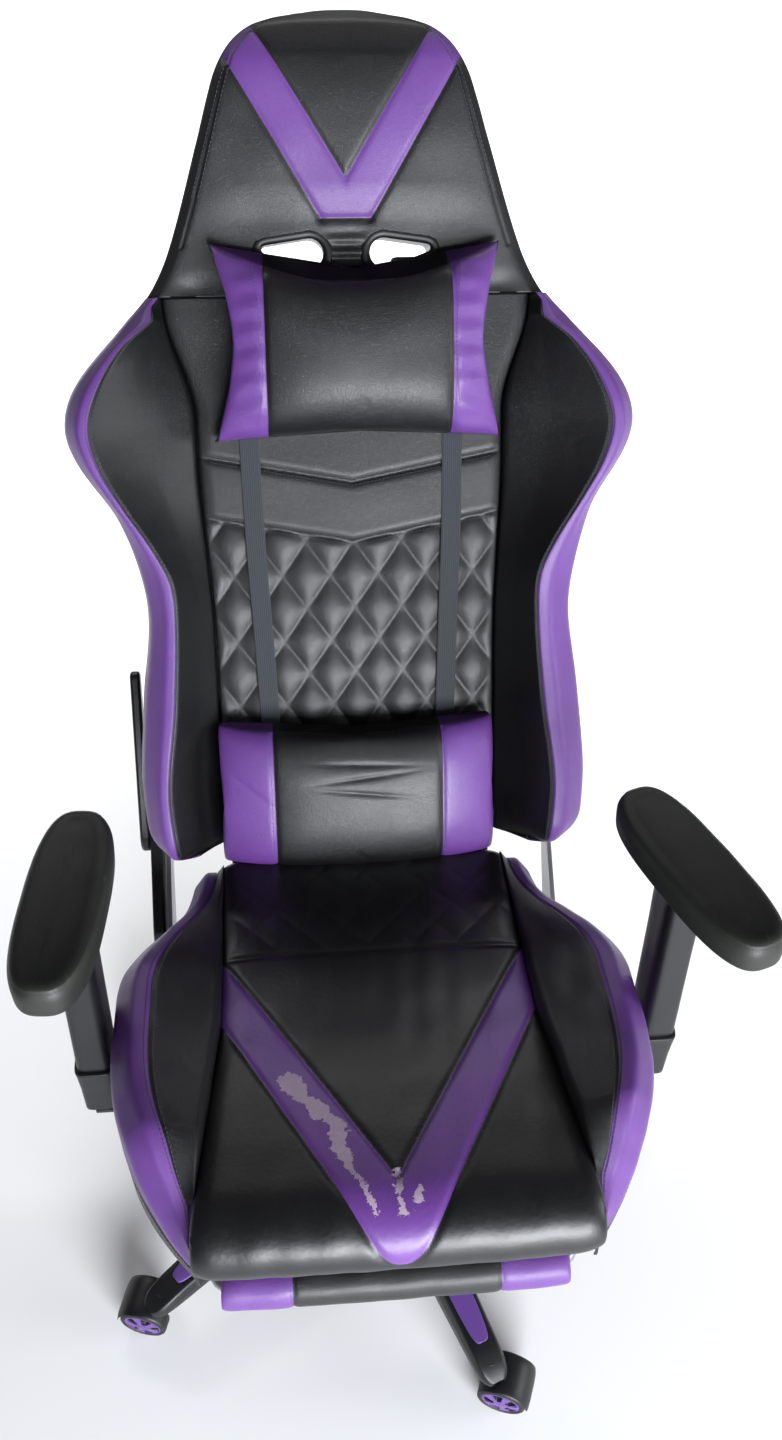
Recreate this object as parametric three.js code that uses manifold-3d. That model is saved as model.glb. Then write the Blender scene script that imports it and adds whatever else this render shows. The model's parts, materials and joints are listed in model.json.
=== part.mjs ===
// A high-backed gaming chair on a five-star base with twin-wheel casters.
// Millimetres, +Z up. The chair faces -Y, so the sitter's left is +X. The floor is z = 0.
import * as THREE from "three";
import { mergeVertices } from "three/addons/utils/BufferGeometryUtils.js";
import Module from "manifold-3d";

const wasm = await Module();
wasm.setup();

// ---- driving dimensions ----
const ORIGIN_SHIFT = [-9.9, -161.2]; // moves the column's axis so that the origin is the footprint's centre
const GAP = 0.4; // air between pieces that touch
const SIDES = [["left", 1], ["right", -1]];

const BASE = { arms: 5, firstArm: -69.5, reach: 302, hubRadius: 43, hubBottom: 45, hubTop: 112 };
const CASTER = { wheelRadius: 26, wheelWidth: 18, hoodWidth: 7, trail: 20, axleRadius: 4, stemRadius: 5.5 };
const CASTER_TURNS = [-22, 163, 150, 35, 172]; // where each caster trails, degrees
const TIP = { bottom: 59, top: 79, bossRadius: 18 }; // the end of each base arm

const LIFT = { tubeRadius: 25, tubeTop: 205, rodRadius: 14, rodTop: 250 };
const COVER_WALL = 2.5;
const COVER_BOTTOMS = [112.4, 117, 121]; // lower, middle and upper telescopic covers
const COVER_TOPS = [165, 185, 205];

const HOUSING = { halfWidth: 50, bottom: 212, top: 270, front: -82, rear: 64 };
const AXLE = { y: -40, z: 256, radius: 8, halfLength: 64 };
const KNOB = { y: -62, radius: 19, bottom: 183, top: 211 };
const LIFT_LEVER = { y: -52, z: 236, radius: 4.5, inner: 52, outer: 246 };

const SEAT = { y: -30, z: 396, slope: 8, front: -265, rear: 198, bottom: -86, ridge: 30 };
const BOARD = { halfWidth: 188, front: -218, rear: 184, thickness: 12 };
const RAIL = { x: 165, z: -120, radius: 6, rear: 150, front: -234 };
const GUIDE = { front: -190, rear: -76, width: 22, bottom: -133 };
const FOOTREST = { halfWidth: 151, halfDepth: 20, rear: -86 };

const ARM = { x: 277, y: -27, bottom: -96, seam: -34, sleeveTop: 170, padTop: 202 };
const ARM_POST = { halfX: 6, halfY: 17, top: 60, boreTop: 140 };
const ARM_PAD = { halfLength: 110, halfWidth: 37, inward: 2, back: -19 };
const BUTTON = { z: 118, halfY: 7, halfZ: 11, face: 17 }; // the height button, on the sleeve's outer face
const PAD_TURN = { left: 18, right: 4 }; // how far each pad's front end is turned outwards, degrees

const HINGE = { y: 222, z: 352, radius: 6 };
const PLATE = { inner: 214, outer: 219, lowY: 146, lowZ: 284, lowRadius: 26, hingeRadius: 13 };
const PLATE_FOOT = { inner: 146, front: 140, rear: 182 };
const RECLINE_COVER = { inner: 222, outer: 235.4, hingeRadius: 24, lowRadius: 31 };
const RECLINE_LEVER = { inner: 236, outer: 247, length: 180, lean: 30, hubRadius: 21, tipRadius: 8 };

const BACK = { y: 204, z: 386, lean: 30, bottom: -6, split: -21, cushionTop: 553, top: 816, stations: 13 };
const FRAME_TUBE = { radius: 9, depth: -38, x: 176, slack: 1.2 };
const BRACKET = { inner: 187, outer: 192, hingeRadius: 9.5 };
const STRAP_HOLE = { x: 37, height: 598, radius: 16, tip: 80, wall: 4.5, front: 8, rear: 50 };
const STRAP = { x: 103, halfWidth: 10, bottom: 24, top: 552, front: 6.2 };
const HEAD_PILLOW = { bottom: 414, top: 596, halfWidth: 136, rear: 9, front: 76 };
const LUMBAR_PILLOW = { bottom: -30, top: 121, halfWidth: 141, rear: 9, front: 70 };

const rad = THREE.MathUtils.degToRad;
const clamp01 = (v) => Math.min(1, Math.max(0, v));
const smooth = (v) => THREE.MathUtils.smoothstep(v, 0, 1);

// A smooth function of position through a few [position, value] knots, level at its ends.
function curve(knots) {
  const slope = (i) =>
    i === 0 || i === knots.length - 1
      ? 0
      : (knots[i + 1][1] - knots[i - 1][1]) / (knots[i + 1][0] - knots[i - 1][0]);
  return (t) => {
    const i = Math.max(0, Math.min(knots.length - 2, knots.findIndex((k) => k[0] > t) - 1));
    if (t >= knots[knots.length - 1][0]) return knots[knots.length - 1][1];
    const [[t0, v0], [t1, v1]] = [knots[i], knots[i + 1]];
    const u = clamp01((t - t0) / (t1 - t0));
    const span = t1 - t0;
    return (
      v0 * (2 * u ** 3 - 3 * u ** 2 + 1) +
      slope(i) * span * (u ** 3 - 2 * u ** 2 + u) +
      v1 * (3 * u ** 2 - 2 * u ** 3) +
      slope(i + 1) * span * (u ** 3 - u ** 2)
    );
  };
}

// Outlines of the soft parts, all as half widths or depths along their length.
const seatHalfWidth = (y) => 153 + 24 * clamp01((-30 - y) / 212);
const bolsterOuter = (y) =>
  y < -43 ? 256 - 76 * ((-43 - y) / 205) ** 2.6 : 256 - 66 * smooth((y + 3) / 180);
const backCentre = (t) => 150 + 8 * smooth((t - 200) / 200) + 27 * smooth((t - 440) / 110);
const backHalfWidth = curve([
  [-6, 206], [14, 224], [70, 234], [150, 226], [250, 216], [337, 238], [400, 276], [436, 283],
  [475, 268], [530, 221], [560, 194], [600, 173], [735, 130], [790, 98], [816, 40],
]);
const wingRidge = curve([[-6, 84], [100, 74], [250, 62], [436, 70], [520, 45], [553, 18]]);
const rearDepth = curve([[-6, 60], [300, 70], [480, 66], [590, 50], [700, 54], [816, 40]]);
const headDepth = curve([[557, 6], [615, 7], [663, 30], [770, 30], [816, 4]]);

// ---- solids ----
function toSolid(geometry) {
  const bare = geometry.clone();
  bare.deleteAttribute("normal");
  bare.deleteAttribute("uv");
  const merged = mergeVertices(bare, 1e-3);
  return new wasm.Manifold(
    new wasm.Mesh({
      numProp: 3,
      vertProperties: merged.attributes.position.array,
      triVerts: new Uint32Array(merged.index.array),
    }),
  );
}

function fromSolid(solid) {
  const { vertProperties, triVerts } = solid.getMesh();
  const geometry = new THREE.BufferGeometry();
  geometry.setAttribute("position", new THREE.BufferAttribute(new Float32Array(vertProperties), 3));
  geometry.setIndex(new THREE.BufferAttribute(new Uint32Array(triVerts), 1));
  geometry.computeVertexNormals();
  return geometry;
}

const join = (...parts) => fromSolid(parts.map(toSolid).reduce((all, part) => all.add(part)));
const cut = (body, ...tools) =>
  fromSolid(tools.map(toSolid).reduce((left, tool) => left.subtract(tool), toSolid(body)));

// A closed skin over rings of points, with a fan at each end, turned so that its faces point out.
function loft(rings) {
  const count = rings[0].length;
  const middle = (ring) =>
    ring.reduce((sum, p) => sum.add(p), new THREE.Vector3()).divideScalar(ring.length);
  const points = [...rings.flat(), middle(rings[0]), middle(rings[rings.length - 1])];
  const [firstFan, lastFan] = [points.length - 2, points.length - 1];
  const lastRing = (rings.length - 1) * count;
  const faces = [];
  for (let i = 0; i < count; i++) {
    const j = (i + 1) % count;
    for (let base = 0; base < lastRing; base += count) {
      faces.push([base + i, base + j, base + count + j], [base + i, base + count + j, base + count + i]);
    }
    faces.push([firstFan, j, i], [lastFan, lastRing + i, lastRing + j]);
  }
  const volume = faces.reduce(
    (sum, [a, b, c]) => sum + points[a].dot(points[b].clone().cross(points[c])),
    0,
  );
  const turned = volume < 0 ? faces.map(([a, b, c]) => [a, c, b]) : faces;
  const geometry = new THREE.BufferGeometry().setFromPoints(points);
  geometry.setIndex(turned.flat());
  geometry.computeVertexNormals();
  return geometry;
}

// A ring between an ellipse (power 2) and a box (large power), as [u, v] pairs about the origin.
function ovalRing(halfU, halfV, power, count) {
  const bend = (v) => Math.sign(v) * Math.abs(v) ** (2 / power);
  return Array.from({ length: count }, (_, i) => {
    const angle = (2 * Math.PI * (i + 0.5)) / count;
    return [halfU * bend(Math.cos(angle)), halfV * bend(Math.sin(angle))];
  });
}

// Evenly spread stations from a to b, closer together near both ends.
const stations = (a, b, count) =>
  Array.from({ length: count }, (_, i) => a + ((b - a) * (1 - Math.cos((Math.PI * i) / (count - 1)))) / 2);

const block = (x0, x1, y0, y1, z0, z1) =>
  new THREE.BoxGeometry(x1 - x0, y1 - y0, z1 - z0).translate((x0 + x1) / 2, (y0 + y1) / 2, (z0 + z1) / 2);

const TURN_TO = { x: [0, 0, -Math.PI / 2], y: [0, 0, 0], z: [Math.PI / 2, 0, 0] };

// A round bar from a to b along one axis, through [u, v] in the other two axes taken in x, y, z order.
function bar(axis, radius, a, b, [u, v], sides = 16) {
  const geometry = new THREE.CylinderGeometry(radius, radius, b - a, sides);
  geometry.applyMatrix4(new THREE.Matrix4().makeRotationFromEuler(new THREE.Euler(...TURN_TO[axis])));
  const m = (a + b) / 2;
  const place = { x: [m, u, v], y: [u, m, v], z: [u, v, m] }[axis];
  return geometry.translate(...place);
}

// A round tube wall about the z axis.
const sleeve = (inner, outer, z0, z1) =>
  new THREE.LatheGeometry(
    [[inner, z0], [outer, z0], [outer, z1], [inner, z1], [inner, z0]].map((p) => new THREE.Vector2(...p)),
    18,
  ).rotateX(Math.PI / 2);

// A flat piece whose outline lies in the y-z plane, from x0 to x1.
function sidePlate(shape, x0, x1) {
  const depth = x1 - x0;
  const geometry = new THREE.ExtrudeGeometry(shape, { depth, bevelEnabled: false, curveSegments: 8 });
  const [x, y, z] = [new THREE.Vector3(1, 0, 0), new THREE.Vector3(0, 1, 0), new THREE.Vector3(0, 0, 1)];
  return geometry.applyMatrix4(new THREE.Matrix4().makeBasis(y, z, x)).translate(x0, 0, 0);
}

// The outline that a belt round two circles makes.
function beltShape([x0, y0, r0], [x1, y1, r1], sides = 20) {
  const angle = Math.atan2(y1 - y0, x1 - x0);
  const spread = Math.acos((r0 - r1) / Math.hypot(x1 - x0, y1 - y0));
  const arc = (x, y, r, from, to) =>
    Array.from({ length: sides / 2 + 1 }, (_, i) => {
      const a = from + ((to - from) * i) / (sides / 2);
      return new THREE.Vector2(x + r * Math.cos(a), y + r * Math.sin(a));
    });
  return new THREE.Shape([
    ...arc(x1, y1, r1, angle - spread, angle + spread),
    ...arc(x0, y0, r0, angle + spread, angle + 2 * Math.PI - spread),
  ]);
}

// A round tube of the given radius along a smooth line.
function tube(line, radius, steps, sides = 8) {
  const ring = ovalRing(radius, radius, 2, sides).map((p) => new THREE.Vector2(...p));
  return new THREE.ExtrudeGeometry(new THREE.Shape(ring), { steps, extrudePath: line, bevelEnabled: false });
}

// ---- materials ----
const finish = (color, roughness, metalness = 0) =>
  new THREE.MeshStandardMaterial({ color, roughness, metalness });
const BLACK_LEATHER = finish(0x1a1c20, 0.45);
const PURPLE_LEATHER = finish(0x6a4a96, 0.45);
const BLACK_PLASTIC = finish(0x17181a, 0.5);
const PURPLE_PLASTIC = finish(0x65558f, 0.45);
const PAD_FOAM = finish(0x23251f, 0.6);
const TYRE = finish(0x121213, 0.7);
const WEBBING = finish(0x3a4048, 0.85);
const STEEL = finish(0x85868a, 0.35, 1);
const BLACK_STEEL = finish(0x1b1b1d, 0.45, 0.6);
const BOARD_WOOD = finish(0x8a6f4c, 0.8);

const chair = new THREE.Group();
chair.position.set(...ORIGIN_SHIFT, 0);

function add(name, geometry, material, parent = chair) {
  const mesh = new THREE.Mesh(geometry, material);
  mesh.name = name;
  parent.add(mesh);
  return mesh;
}

// ---- base ----
const armWidth = (r) => 52 - 18 * clamp01((r - 30) / 270);
const armTop = (r) => 108 - (108 - TIP.top) * clamp01((r - 30) / 270);
const armBottom = (r) => 48 + (TIP.bottom - 48) * smooth((r - 30) / 120);

function starArm() {
  const ring = (r, grow) =>
    [[-1, 0], [1, 0], [0.8, 1], [-0.8, 1]].map(
      ([side, up]) =>
        new THREE.Vector3(r, (side * armWidth(r)) / 2 - grow * side, up ? armTop(r) : armBottom(r)),
    );
  const arm = loft([ring(20, 0), ring(80, 0), ring(160, 0), ring(BASE.reach, 0)]);
  const boss = bar("z", TIP.bossRadius, TIP.bottom, TIP.top + 1, [BASE.reach, 0], 14);
  return join(arm, boss);
}

function starBase() {
  const turned = (geometry, i) => geometry.clone().rotateZ(rad(BASE.firstArm - (i * 360) / BASE.arms));
  const arm = starArm();
  const socket = bar("z", CASTER.stemRadius + 0.4, TIP.bottom - 5, TIP.top - 2, [BASE.reach, 0], 10);
  const each = Array.from({ length: BASE.arms }, (_, i) => i);
  const hub = bar("z", BASE.hubRadius, BASE.hubBottom, BASE.hubTop, [0, 0], 20);
  const star = join(hub, ...each.map((i) => turned(arm, i)));
  const bore = bar("z", LIFT.tubeRadius + 0.4, 40, 120, [0, 0], 20);
  return cut(star, bore, ...each.map((i) => turned(socket, i)));
}

function baseTrim() {
  const ring = (r, low) =>
    [[-1, 0], [1, 0], [1, 1], [-1, 1]].map(
      ([side, up]) => new THREE.Vector3(r, (side * low * armWidth(r)) / 2, armTop(r) + GAP + up * 2.6),
    );
  return loft([ring(84, 0.62), ring(160, 0.66), ring(268, 0.66)]);
}

add("star_base", starBase(), BLACK_PLASTIC);

// ---- casters: the stem is at the group's origin and the wheels trail along its x axis ----
function casterHood() {
  const { wheelRadius, wheelWidth, hoodWidth, trail, axleRadius, stemRadius } = CASTER;
  const [from, to] = [rad(8), rad(150)];
  const web = new THREE.Shape();
  web.absarc(0, 0, wheelRadius + 2.5, from, to, false);
  web.absarc(0, 0, axleRadius + 6, to, from + 2 * Math.PI, false);
  const roof = new THREE.Shape();
  roof.absarc(0, 0, wheelRadius + 4, from, to, false);
  roof.absarc(0, 0, wheelRadius + 1.5, to, from, true);
  const across = (shape, half, curveSegments) =>
    new THREE.ExtrudeGeometry(shape, { depth: 2 * half, bevelEnabled: false, curveSegments })
      .translate(0, 0, -half)
      .rotateX(Math.PI / 2)
      .translate(trail, 0, wheelRadius);
  const neck = bar("z", 8, 2 * wheelRadius - 1, TIP.bottom - 1, [0, 0], 10);
  const stem = bar("z", stemRadius, TIP.bottom - 3, TIP.top - 3, [0, 0], 10);
  const roofHalf = wheelWidth + hoodWidth / 2 + 1;
  const body = join(across(roof, roofHalf, 7), across(web, hoodWidth / 2, 7), neck, stem);
  return cut(body, bar("y", axleRadius + 0.4, -hoodWidth, hoodWidth, [trail, wheelRadius], 10));
}

function casterWheels() {
  const { wheelRadius, wheelWidth, hoodWidth, trail, axleRadius } = CASTER;
  const inner = hoodWidth / 2 + 0.6;
  const at = [trail, wheelRadius];
  return join(
    bar("y", wheelRadius, inner, inner + wheelWidth, at, 22),
    bar("y", wheelRadius, -inner - wheelWidth, -inner, at, 22),
    bar("y", axleRadius, -inner - 2, inner + 2, at, 10),
  );
}

for (let i = 0; i < BASE.arms; i++) {
  const turn = rad(BASE.firstArm - (i * 360) / BASE.arms);
  const caster = new THREE.Group();
  caster.position.set(BASE.reach * Math.cos(turn), BASE.reach * Math.sin(turn), 0);
  caster.rotation.z = rad(CASTER_TURNS[i]);
  chair.add(caster);
  add(`caster_hood_${i + 1}`, casterHood(), BLACK_PLASTIC, caster);
  add(`caster_wheels_${i + 1}`, casterWheels(), TYRE, caster);
  add(`base_trim_${i + 1}`, baseTrim().rotateZ(turn), PURPLE_PLASTIC);
}

// ---- gas lift and its telescopic covers ----
function liftCylinder() {
  const { tubeRadius, tubeTop, rodRadius } = LIFT;
  return cut(
    bar("z", tubeRadius, BASE.hubBottom + 2, tubeTop, [0, 0], 24),
    bar("z", rodRadius + 0.5, BASE.hubBottom + 12, tubeTop + 5, [0, 0], 20),
  );
}

add("lift_cylinder", liftCylinder(), BLACK_STEEL);
add("lift_piston", bar("z", LIFT.rodRadius, 60, LIFT.rodTop, [0, 0], 20), STEEL);
["lower", "middle", "upper"].forEach((place, i) => {
  const inner = LIFT.tubeRadius + 0.8 + (2 - i) * (COVER_WALL + 0.6);
  const wall = sleeve(inner, inner + COVER_WALL, COVER_BOTTOMS[i], COVER_TOPS[i]);
  add(`lift_cover_${place}`, wall, BLACK_PLASTIC);
});

// ---- tilt mechanism ----
function tiltHousing() {
  const { halfWidth, bottom, top, front, rear } = HOUSING;
  const side = new THREE.Shape(
    [[front, bottom + 6], [-44, bottom], [rear, bottom], [rear, 236], [8, 256], [-26, top], [front, top]].map(
      (p) => new THREE.Vector2(...p),
    ),
  );
  return cut(
    sidePlate(side, -halfWidth, halfWidth),
    bar("z", LIFT.rodRadius + 0.4, bottom - 5, LIFT.rodTop + 1, [0, 0], 20),
    bar("x", AXLE.radius + 0.3, -halfWidth - 5, halfWidth + 5, [AXLE.y, AXLE.z], 16),
    bar("z", 6.4, bottom - 5, 240, [0, KNOB.y], 12),
  );
}

const tensionKnob = () =>
  join(
    bar("z", KNOB.radius, KNOB.bottom, KNOB.top, [0, KNOB.y], 20),
    bar("z", 6, KNOB.top - 2, 236, [0, KNOB.y], 12),
  );

function liftLever() {
  const { y, z, radius, inner, outer } = LIFT_LEVER;
  return join(
    bar("x", radius, -outer + 20, -inner, [y, z], 10),
    block(-outer, -outer + 34, y - 13, y + 13, z - 4.5, z + 5.5),
  );
}

add("tilt_housing", tiltHousing(), BLACK_STEEL);
add("tilt_axle", bar("x", AXLE.radius, -AXLE.halfLength, AXLE.halfLength, [AXLE.y, AXLE.z], 16), STEEL);
add("tension_knob", tensionKnob(), BLACK_PLASTIC);
add("lift_lever", liftLever(), BLACK_PLASTIC);

// ---- seat: its group lies on the cushion's top, front edge raised by the slope ----
const seat = new THREE.Group();
seat.position.set(0, SEAT.y, SEAT.z);
seat.rotation.x = -rad(SEAT.slope);
chair.add(seat);
const boardTop = SEAT.bottom - 1;
const boardBottom = boardTop - BOARD.thickness;
const plateTop = boardBottom - GAP;

// A point of the chair's frame in the seat's frame, as [y, z].
function inSeat(y, z) {
  const p = new THREE.Vector3(0, y - SEAT.y, z - SEAT.z);
  p.applyAxisAngle(new THREE.Vector3(1, 0, 0), rad(SEAT.slope));
  return [p.y, p.z];
}

function seatPlate() {
  const [axleY, axleZ] = inSeat(AXLE.y, AXLE.z);
  const flange = new THREE.Shape(
    [[-70, plateTop - 2], [-70, plateTop - 10], [axleY - 16, axleZ - 10], [axleY, axleZ - 15],
      [axleY + 16, axleZ - 10], [80, plateTop - 12], [80, plateTop - 2]].map((p) => new THREE.Vector2(...p)),
  );
  const top = block(-88, 88, -80, 110, plateTop - 4, plateTop);
  const sides = SIDES.map(([, s]) => sidePlate(flange, s > 0 ? 54 : -58, s > 0 ? 58 : -54));
  return cut(join(top, ...sides), bar("x", AXLE.radius + 0.4, -90, 90, [axleY, axleZ], 16));
}

function seatCushion() {
  const rings = stations(SEAT.front, SEAT.rear, 12).map((y) => {
    const roll = clamp01((SEAT.front + 52 - y) / 52);
    const end = clamp01((y - SEAT.rear + 20) / 20);
    const top = -42 * (1 - Math.sqrt(1 - roll ** 2 * 0.98)) - 12 * end ** 2;
    const low = SEAT.bottom + 30 * roll ** 3;
    return ovalRing(seatHalfWidth(y) - 4 * end, (top - low) / 2, 7, 18).map(
      ([u, v]) => new THREE.Vector3(u, y, v + (top + low) / 2),
    );
  });
  return loft(rings);
}

function seatBolster(side) {
  const rings = stations(-240, SEAT.rear - 20, 12).map((y) => {
    const [inner, outer] = [seatHalfWidth(y) + GAP, bolsterOuter(y)];
    const rise = smooth((y + 245) / 90) * (1 - smooth((y - 20) / 110));
    const top = -24 + (SEAT.ridge + 24) * rise;
    return ovalRing((outer - inner) / 2, (top - SEAT.bottom) / 2, 3.6, 14).map(
      ([u, v]) => new THREE.Vector3(side * (u + (inner + outer) / 2), y, v + (top + SEAT.bottom) / 2),
    );
  });
  return loft(rings);
}

add("seat_plate", seatPlate(), BLACK_STEEL, seat);
const { halfWidth: boardHalf, front: boardFront, rear: boardRear } = BOARD;
const board = block(-boardHalf, boardHalf, boardFront, boardRear, boardBottom, boardTop);
add("seat_board", board, BOARD_WOOD, seat);
add("seat_cushion", seatCushion(), BLACK_LEATHER, seat);
for (const [name, side] of SIDES) add(`seat_bolster_${name}`, seatBolster(side), BLACK_LEATHER, seat);

// ---- footrest: a pad on a bent rail that slides in two guides under the seat ----
function footrestRail() {
  const { x, z, radius, rear, front } = RAIL;
  const runs = SIDES.map(([, side]) => bar("y", radius, front - radius, rear, [side * x, z], 10));
  return join(bar("x", radius, -x, x, [front, z], 10), ...runs);
}

function footrestPad() {
  const { halfWidth, halfDepth, rear } = FOOTREST;
  const front = RAIL.front;
  const shape = new THREE.Shape();
  shape.absarc(front, RAIL.z, halfDepth, rad(90), rad(270), false);
  shape.lineTo(rear - 8, RAIL.z - halfDepth);
  shape.lineTo(rear, RAIL.z - halfDepth + 8);
  shape.lineTo(rear, RAIL.z + halfDepth - 8);
  shape.lineTo(rear - 8, RAIL.z + halfDepth);
  const bore = bar("x", RAIL.radius + 0.8, -halfWidth - 5, halfWidth + 5, [front, RAIL.z], 16);
  return cut(sidePlate(shape, -halfWidth, halfWidth), bore);
}

function footrestGuide(side) {
  const { front, rear, width, bottom } = GUIDE;
  const x = side * RAIL.x;
  return cut(
    block(x - width / 2, x + width / 2, front, rear, bottom, boardBottom - GAP),
    bar("y", RAIL.radius + 0.7, front - 5, rear + 5, [x, RAIL.z], 14),
  );
}

add("footrest_rail", footrestRail(), STEEL, seat);
add("footrest_pad", footrestPad(), BLACK_LEATHER, seat);
for (const [name, side] of SIDES) add(`footrest_guide_${name}`, footrestGuide(side), BLACK_PLASTIC, seat);

// ---- armrests ----
const boxAbout = (x, y, halfX, halfY, z0, z1) => block(x - halfX, x + halfX, y - halfY, y + halfY, z0, z1);

function armBracket(side) {
  const { x, y } = ARM;
  const reach = x + ARM_POST.halfX;
  const foot = block(Math.min(side * 94, side * reach), Math.max(side * 94, side * reach),
    y - 22, y + 22, plateTop - 5, plateTop);
  return join(foot, boxAbout(side * x, y, ARM_POST.halfX, ARM_POST.halfY, plateTop - 2, ARM_POST.top));
}

// A tapering sleeve with a rectangular bore for the post.
function armSleeve(side, z0, z1, boreTop, [low, high]) {
  const ring = (z, [halfX, halfY]) =>
    ovalRing(halfX, halfY, 5, 20).map(([u, v]) => new THREE.Vector3(side * ARM.x + u, ARM.y + v, z));
  const bore = boxAbout(side * ARM.x, ARM.y, ARM_POST.halfX + 0.6, ARM_POST.halfY + 0.6, z0 - 5, boreTop);
  return cut(loft([ring(z0, low), ring((z0 + z1) / 2, [(low[0] + high[0]) / 2, (low[1] + high[1]) / 2]),
    ring(z1, high)]), bore);
}

function armUpperSleeve(side) {
  const body = armSleeve(side, ARM.seam + GAP, ARM.sleeveTop, ARM_POST.boreTop, [[17, 27], [17, 30]]);
  const face = side * (ARM.x + BUTTON.face);
  const pocket = boxAbout(face, ARM.y, 6, BUTTON.halfY + 0.6, BUTTON.z - BUTTON.halfZ - 0.6,
    BUTTON.z + BUTTON.halfZ + 0.6);
  return cut(body, pocket);
}

function armPad(side) {
  const { halfLength, halfWidth } = ARM_PAD;
  const height = ARM.padTop - ARM.sleeveTop - 1;
  const rows = [[0, 0.88], [0.3, 0.98], [0.62, 1], [0.88, 0.96], [1, 0.86]];
  return loft(rows.map(([up, spread]) =>
    ovalRing(halfWidth * spread, halfLength - halfWidth * (1 - spread), 2.9, 24).map(
      ([u, v]) =>
        new THREE.Vector3(u - side * ARM_PAD.inward, v + ARM_PAD.back, ARM.sleeveTop + 1 + up * height),
    )));
}

for (const [name, side] of SIDES) {
  add(`arm_bracket_${name}`, armBracket(side), BLACK_STEEL, seat);
  const lower = armSleeve(side, ARM.bottom, ARM.seam, ARM.seam + 5, [[16, 25], [19, 29]]);
  add(`arm_lower_sleeve_${name}`, lower, BLACK_PLASTIC, seat);
  add(`arm_upper_sleeve_${name}`, armUpperSleeve(side), BLACK_PLASTIC, seat);
  const button = boxAbout(side * (ARM.x + BUTTON.face - 0.6), ARM.y, 2, BUTTON.halfY,
    BUTTON.z - BUTTON.halfZ, BUTTON.z + BUTTON.halfZ);
  add(`arm_button_${name}`, button, BLACK_PLASTIC, seat);
  const pad = add(`arm_pad_${name}`, armPad(side), PAD_FOAM, seat);
  pad.position.set(side * ARM.x, ARM.y, 0);
  pad.rotation.z = side * rad(PAD_TURN[name]);
}

// ---- recline brackets beside the seat's rear, in the chair's frame ----
function reclinePlate(side) {
  const { inner, outer, lowY, lowZ, lowRadius, hingeRadius } = PLATE;
  const belt = beltShape([HINGE.y, HINGE.z, hingeRadius], [lowY, lowZ, lowRadius]);
  const [x0, x1] = side > 0 ? [inner, outer] : [-outer, -inner];
  const { inner: footInner, front, rear } = PLATE_FOOT;
  const [footX0, footX1] = side > 0 ? [footInner, inner + 2] : [-inner - 2, -footInner];
  const pin = bar("x", HINGE.radius, side > 0 ? BRACKET.inner - 3 : -inner - 2,
    side > 0 ? inner + 2 : 3 - BRACKET.inner, [HINGE.y, HINGE.z], 16);
  const foot = block(footX0, footX1, front, rear, plateTop - 5, plateTop);
  foot.rotateX(-rad(SEAT.slope)).translate(0, SEAT.y, SEAT.z);
  return join(sidePlate(belt, x0, x1), foot, pin);
}

function reclineCover() {
  const { inner, outer, hingeRadius, lowRadius } = RECLINE_COVER;
  const belt = beltShape([HINGE.y, HINGE.z, hingeRadius], [PLATE.lowY, PLATE.lowZ - 4, lowRadius]);
  return sidePlate(belt, -outer, -inner);
}

function reclineLever() {
  const { inner, outer, length, lean, hubRadius, tipRadius } = RECLINE_LEVER;
  const tip = [HINGE.y + length * Math.sin(rad(lean)), HINGE.z + length * Math.cos(rad(lean))];
  return sidePlate(beltShape([HINGE.y, HINGE.z, hubRadius], [...tip, tipRadius]), -outer, -inner);
}

for (const [name, side] of SIDES) add(`recline_plate_${name}`, reclinePlate(side), STEEL);
add("recline_cover", reclineCover(), BLACK_PLASTIC);
add("recline_lever", reclineLever(), BLACK_PLASTIC);

// ---- back: its group stands on the seat's rear edge; inside it -y is the front and z runs up the back ----
const back = new THREE.Group();
back.position.set(0, BACK.y, BACK.z);
back.rotation.x = -rad(BACK.lean);
chair.add(back);

// The hinge's axis in the back's frame, as [y, z].
function inBack(y, z) {
  const p = new THREE.Vector3(0, y - BACK.y, z - BACK.z);
  p.applyAxisAngle(new THREE.Vector3(1, 0, 0), rad(BACK.lean));
  return [p.y, p.z];
}

// Bent side tubes and arch, a cross tube and two hinge brackets, each thicker by the slack.
function backFrame(slack) {
  const { radius, depth, x } = FRAME_TUBE;
  const at = (u, t) => new THREE.Vector3(u, -depth, t);
  const arch = new THREE.CatmullRomCurve3([
    at(-x, 4), at(-x, 160), at(-x, 320), at(-x + 14, 430), at(-132, 560), at(-108, 670), at(-62, 735),
    at(0, 752),
    at(62, 735), at(108, 670), at(132, 560), at(x - 14, 430), at(x, 320), at(x, 160), at(x, 4),
  ]);
  const [hingeY, hingeZ] = inBack(HINGE.y, HINGE.z);
  const strip = beltShape([hingeY, hingeZ, BRACKET.hingeRadius + slack], [-depth, 60, radius + slack], 16);
  const brackets = SIDES.map(([, s]) =>
    s > 0
      ? sidePlate(strip, x + 2, BRACKET.outer + slack)
      : sidePlate(strip, -BRACKET.outer - slack, -x - 2));
  const cross = bar("x", radius - 1 + slack, -x, x, [-depth, 14], 8);
  return join(tube(arch, radius + slack, 24, 6), cross, ...brackets);
}

const hingeBore = () => bar("x", HINGE.radius + 0.4, -230, 230, inBack(HINGE.y, HINGE.z), 16);

// A strap hole's outline: round towards the middle, drawn out to a rounded tip away from it.
const dropShape = (side, grow) =>
  beltShape([side * STRAP_HOLE.x, STRAP_HOLE.height, STRAP_HOLE.radius + grow],
    [side * STRAP_HOLE.tip, STRAP_HOLE.height + 4, 6 + grow], 16);

// A drop pushed from front to rear through the back.
function dropSolid(side, grow, front, rear) {
  const depth = front + rear;
  const solid = new THREE.ExtrudeGeometry(dropShape(side, grow), { depth, bevelEnabled: false });
  return solid.rotateX(Math.PI / 2).translate(0, rear, 0);
}

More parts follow.
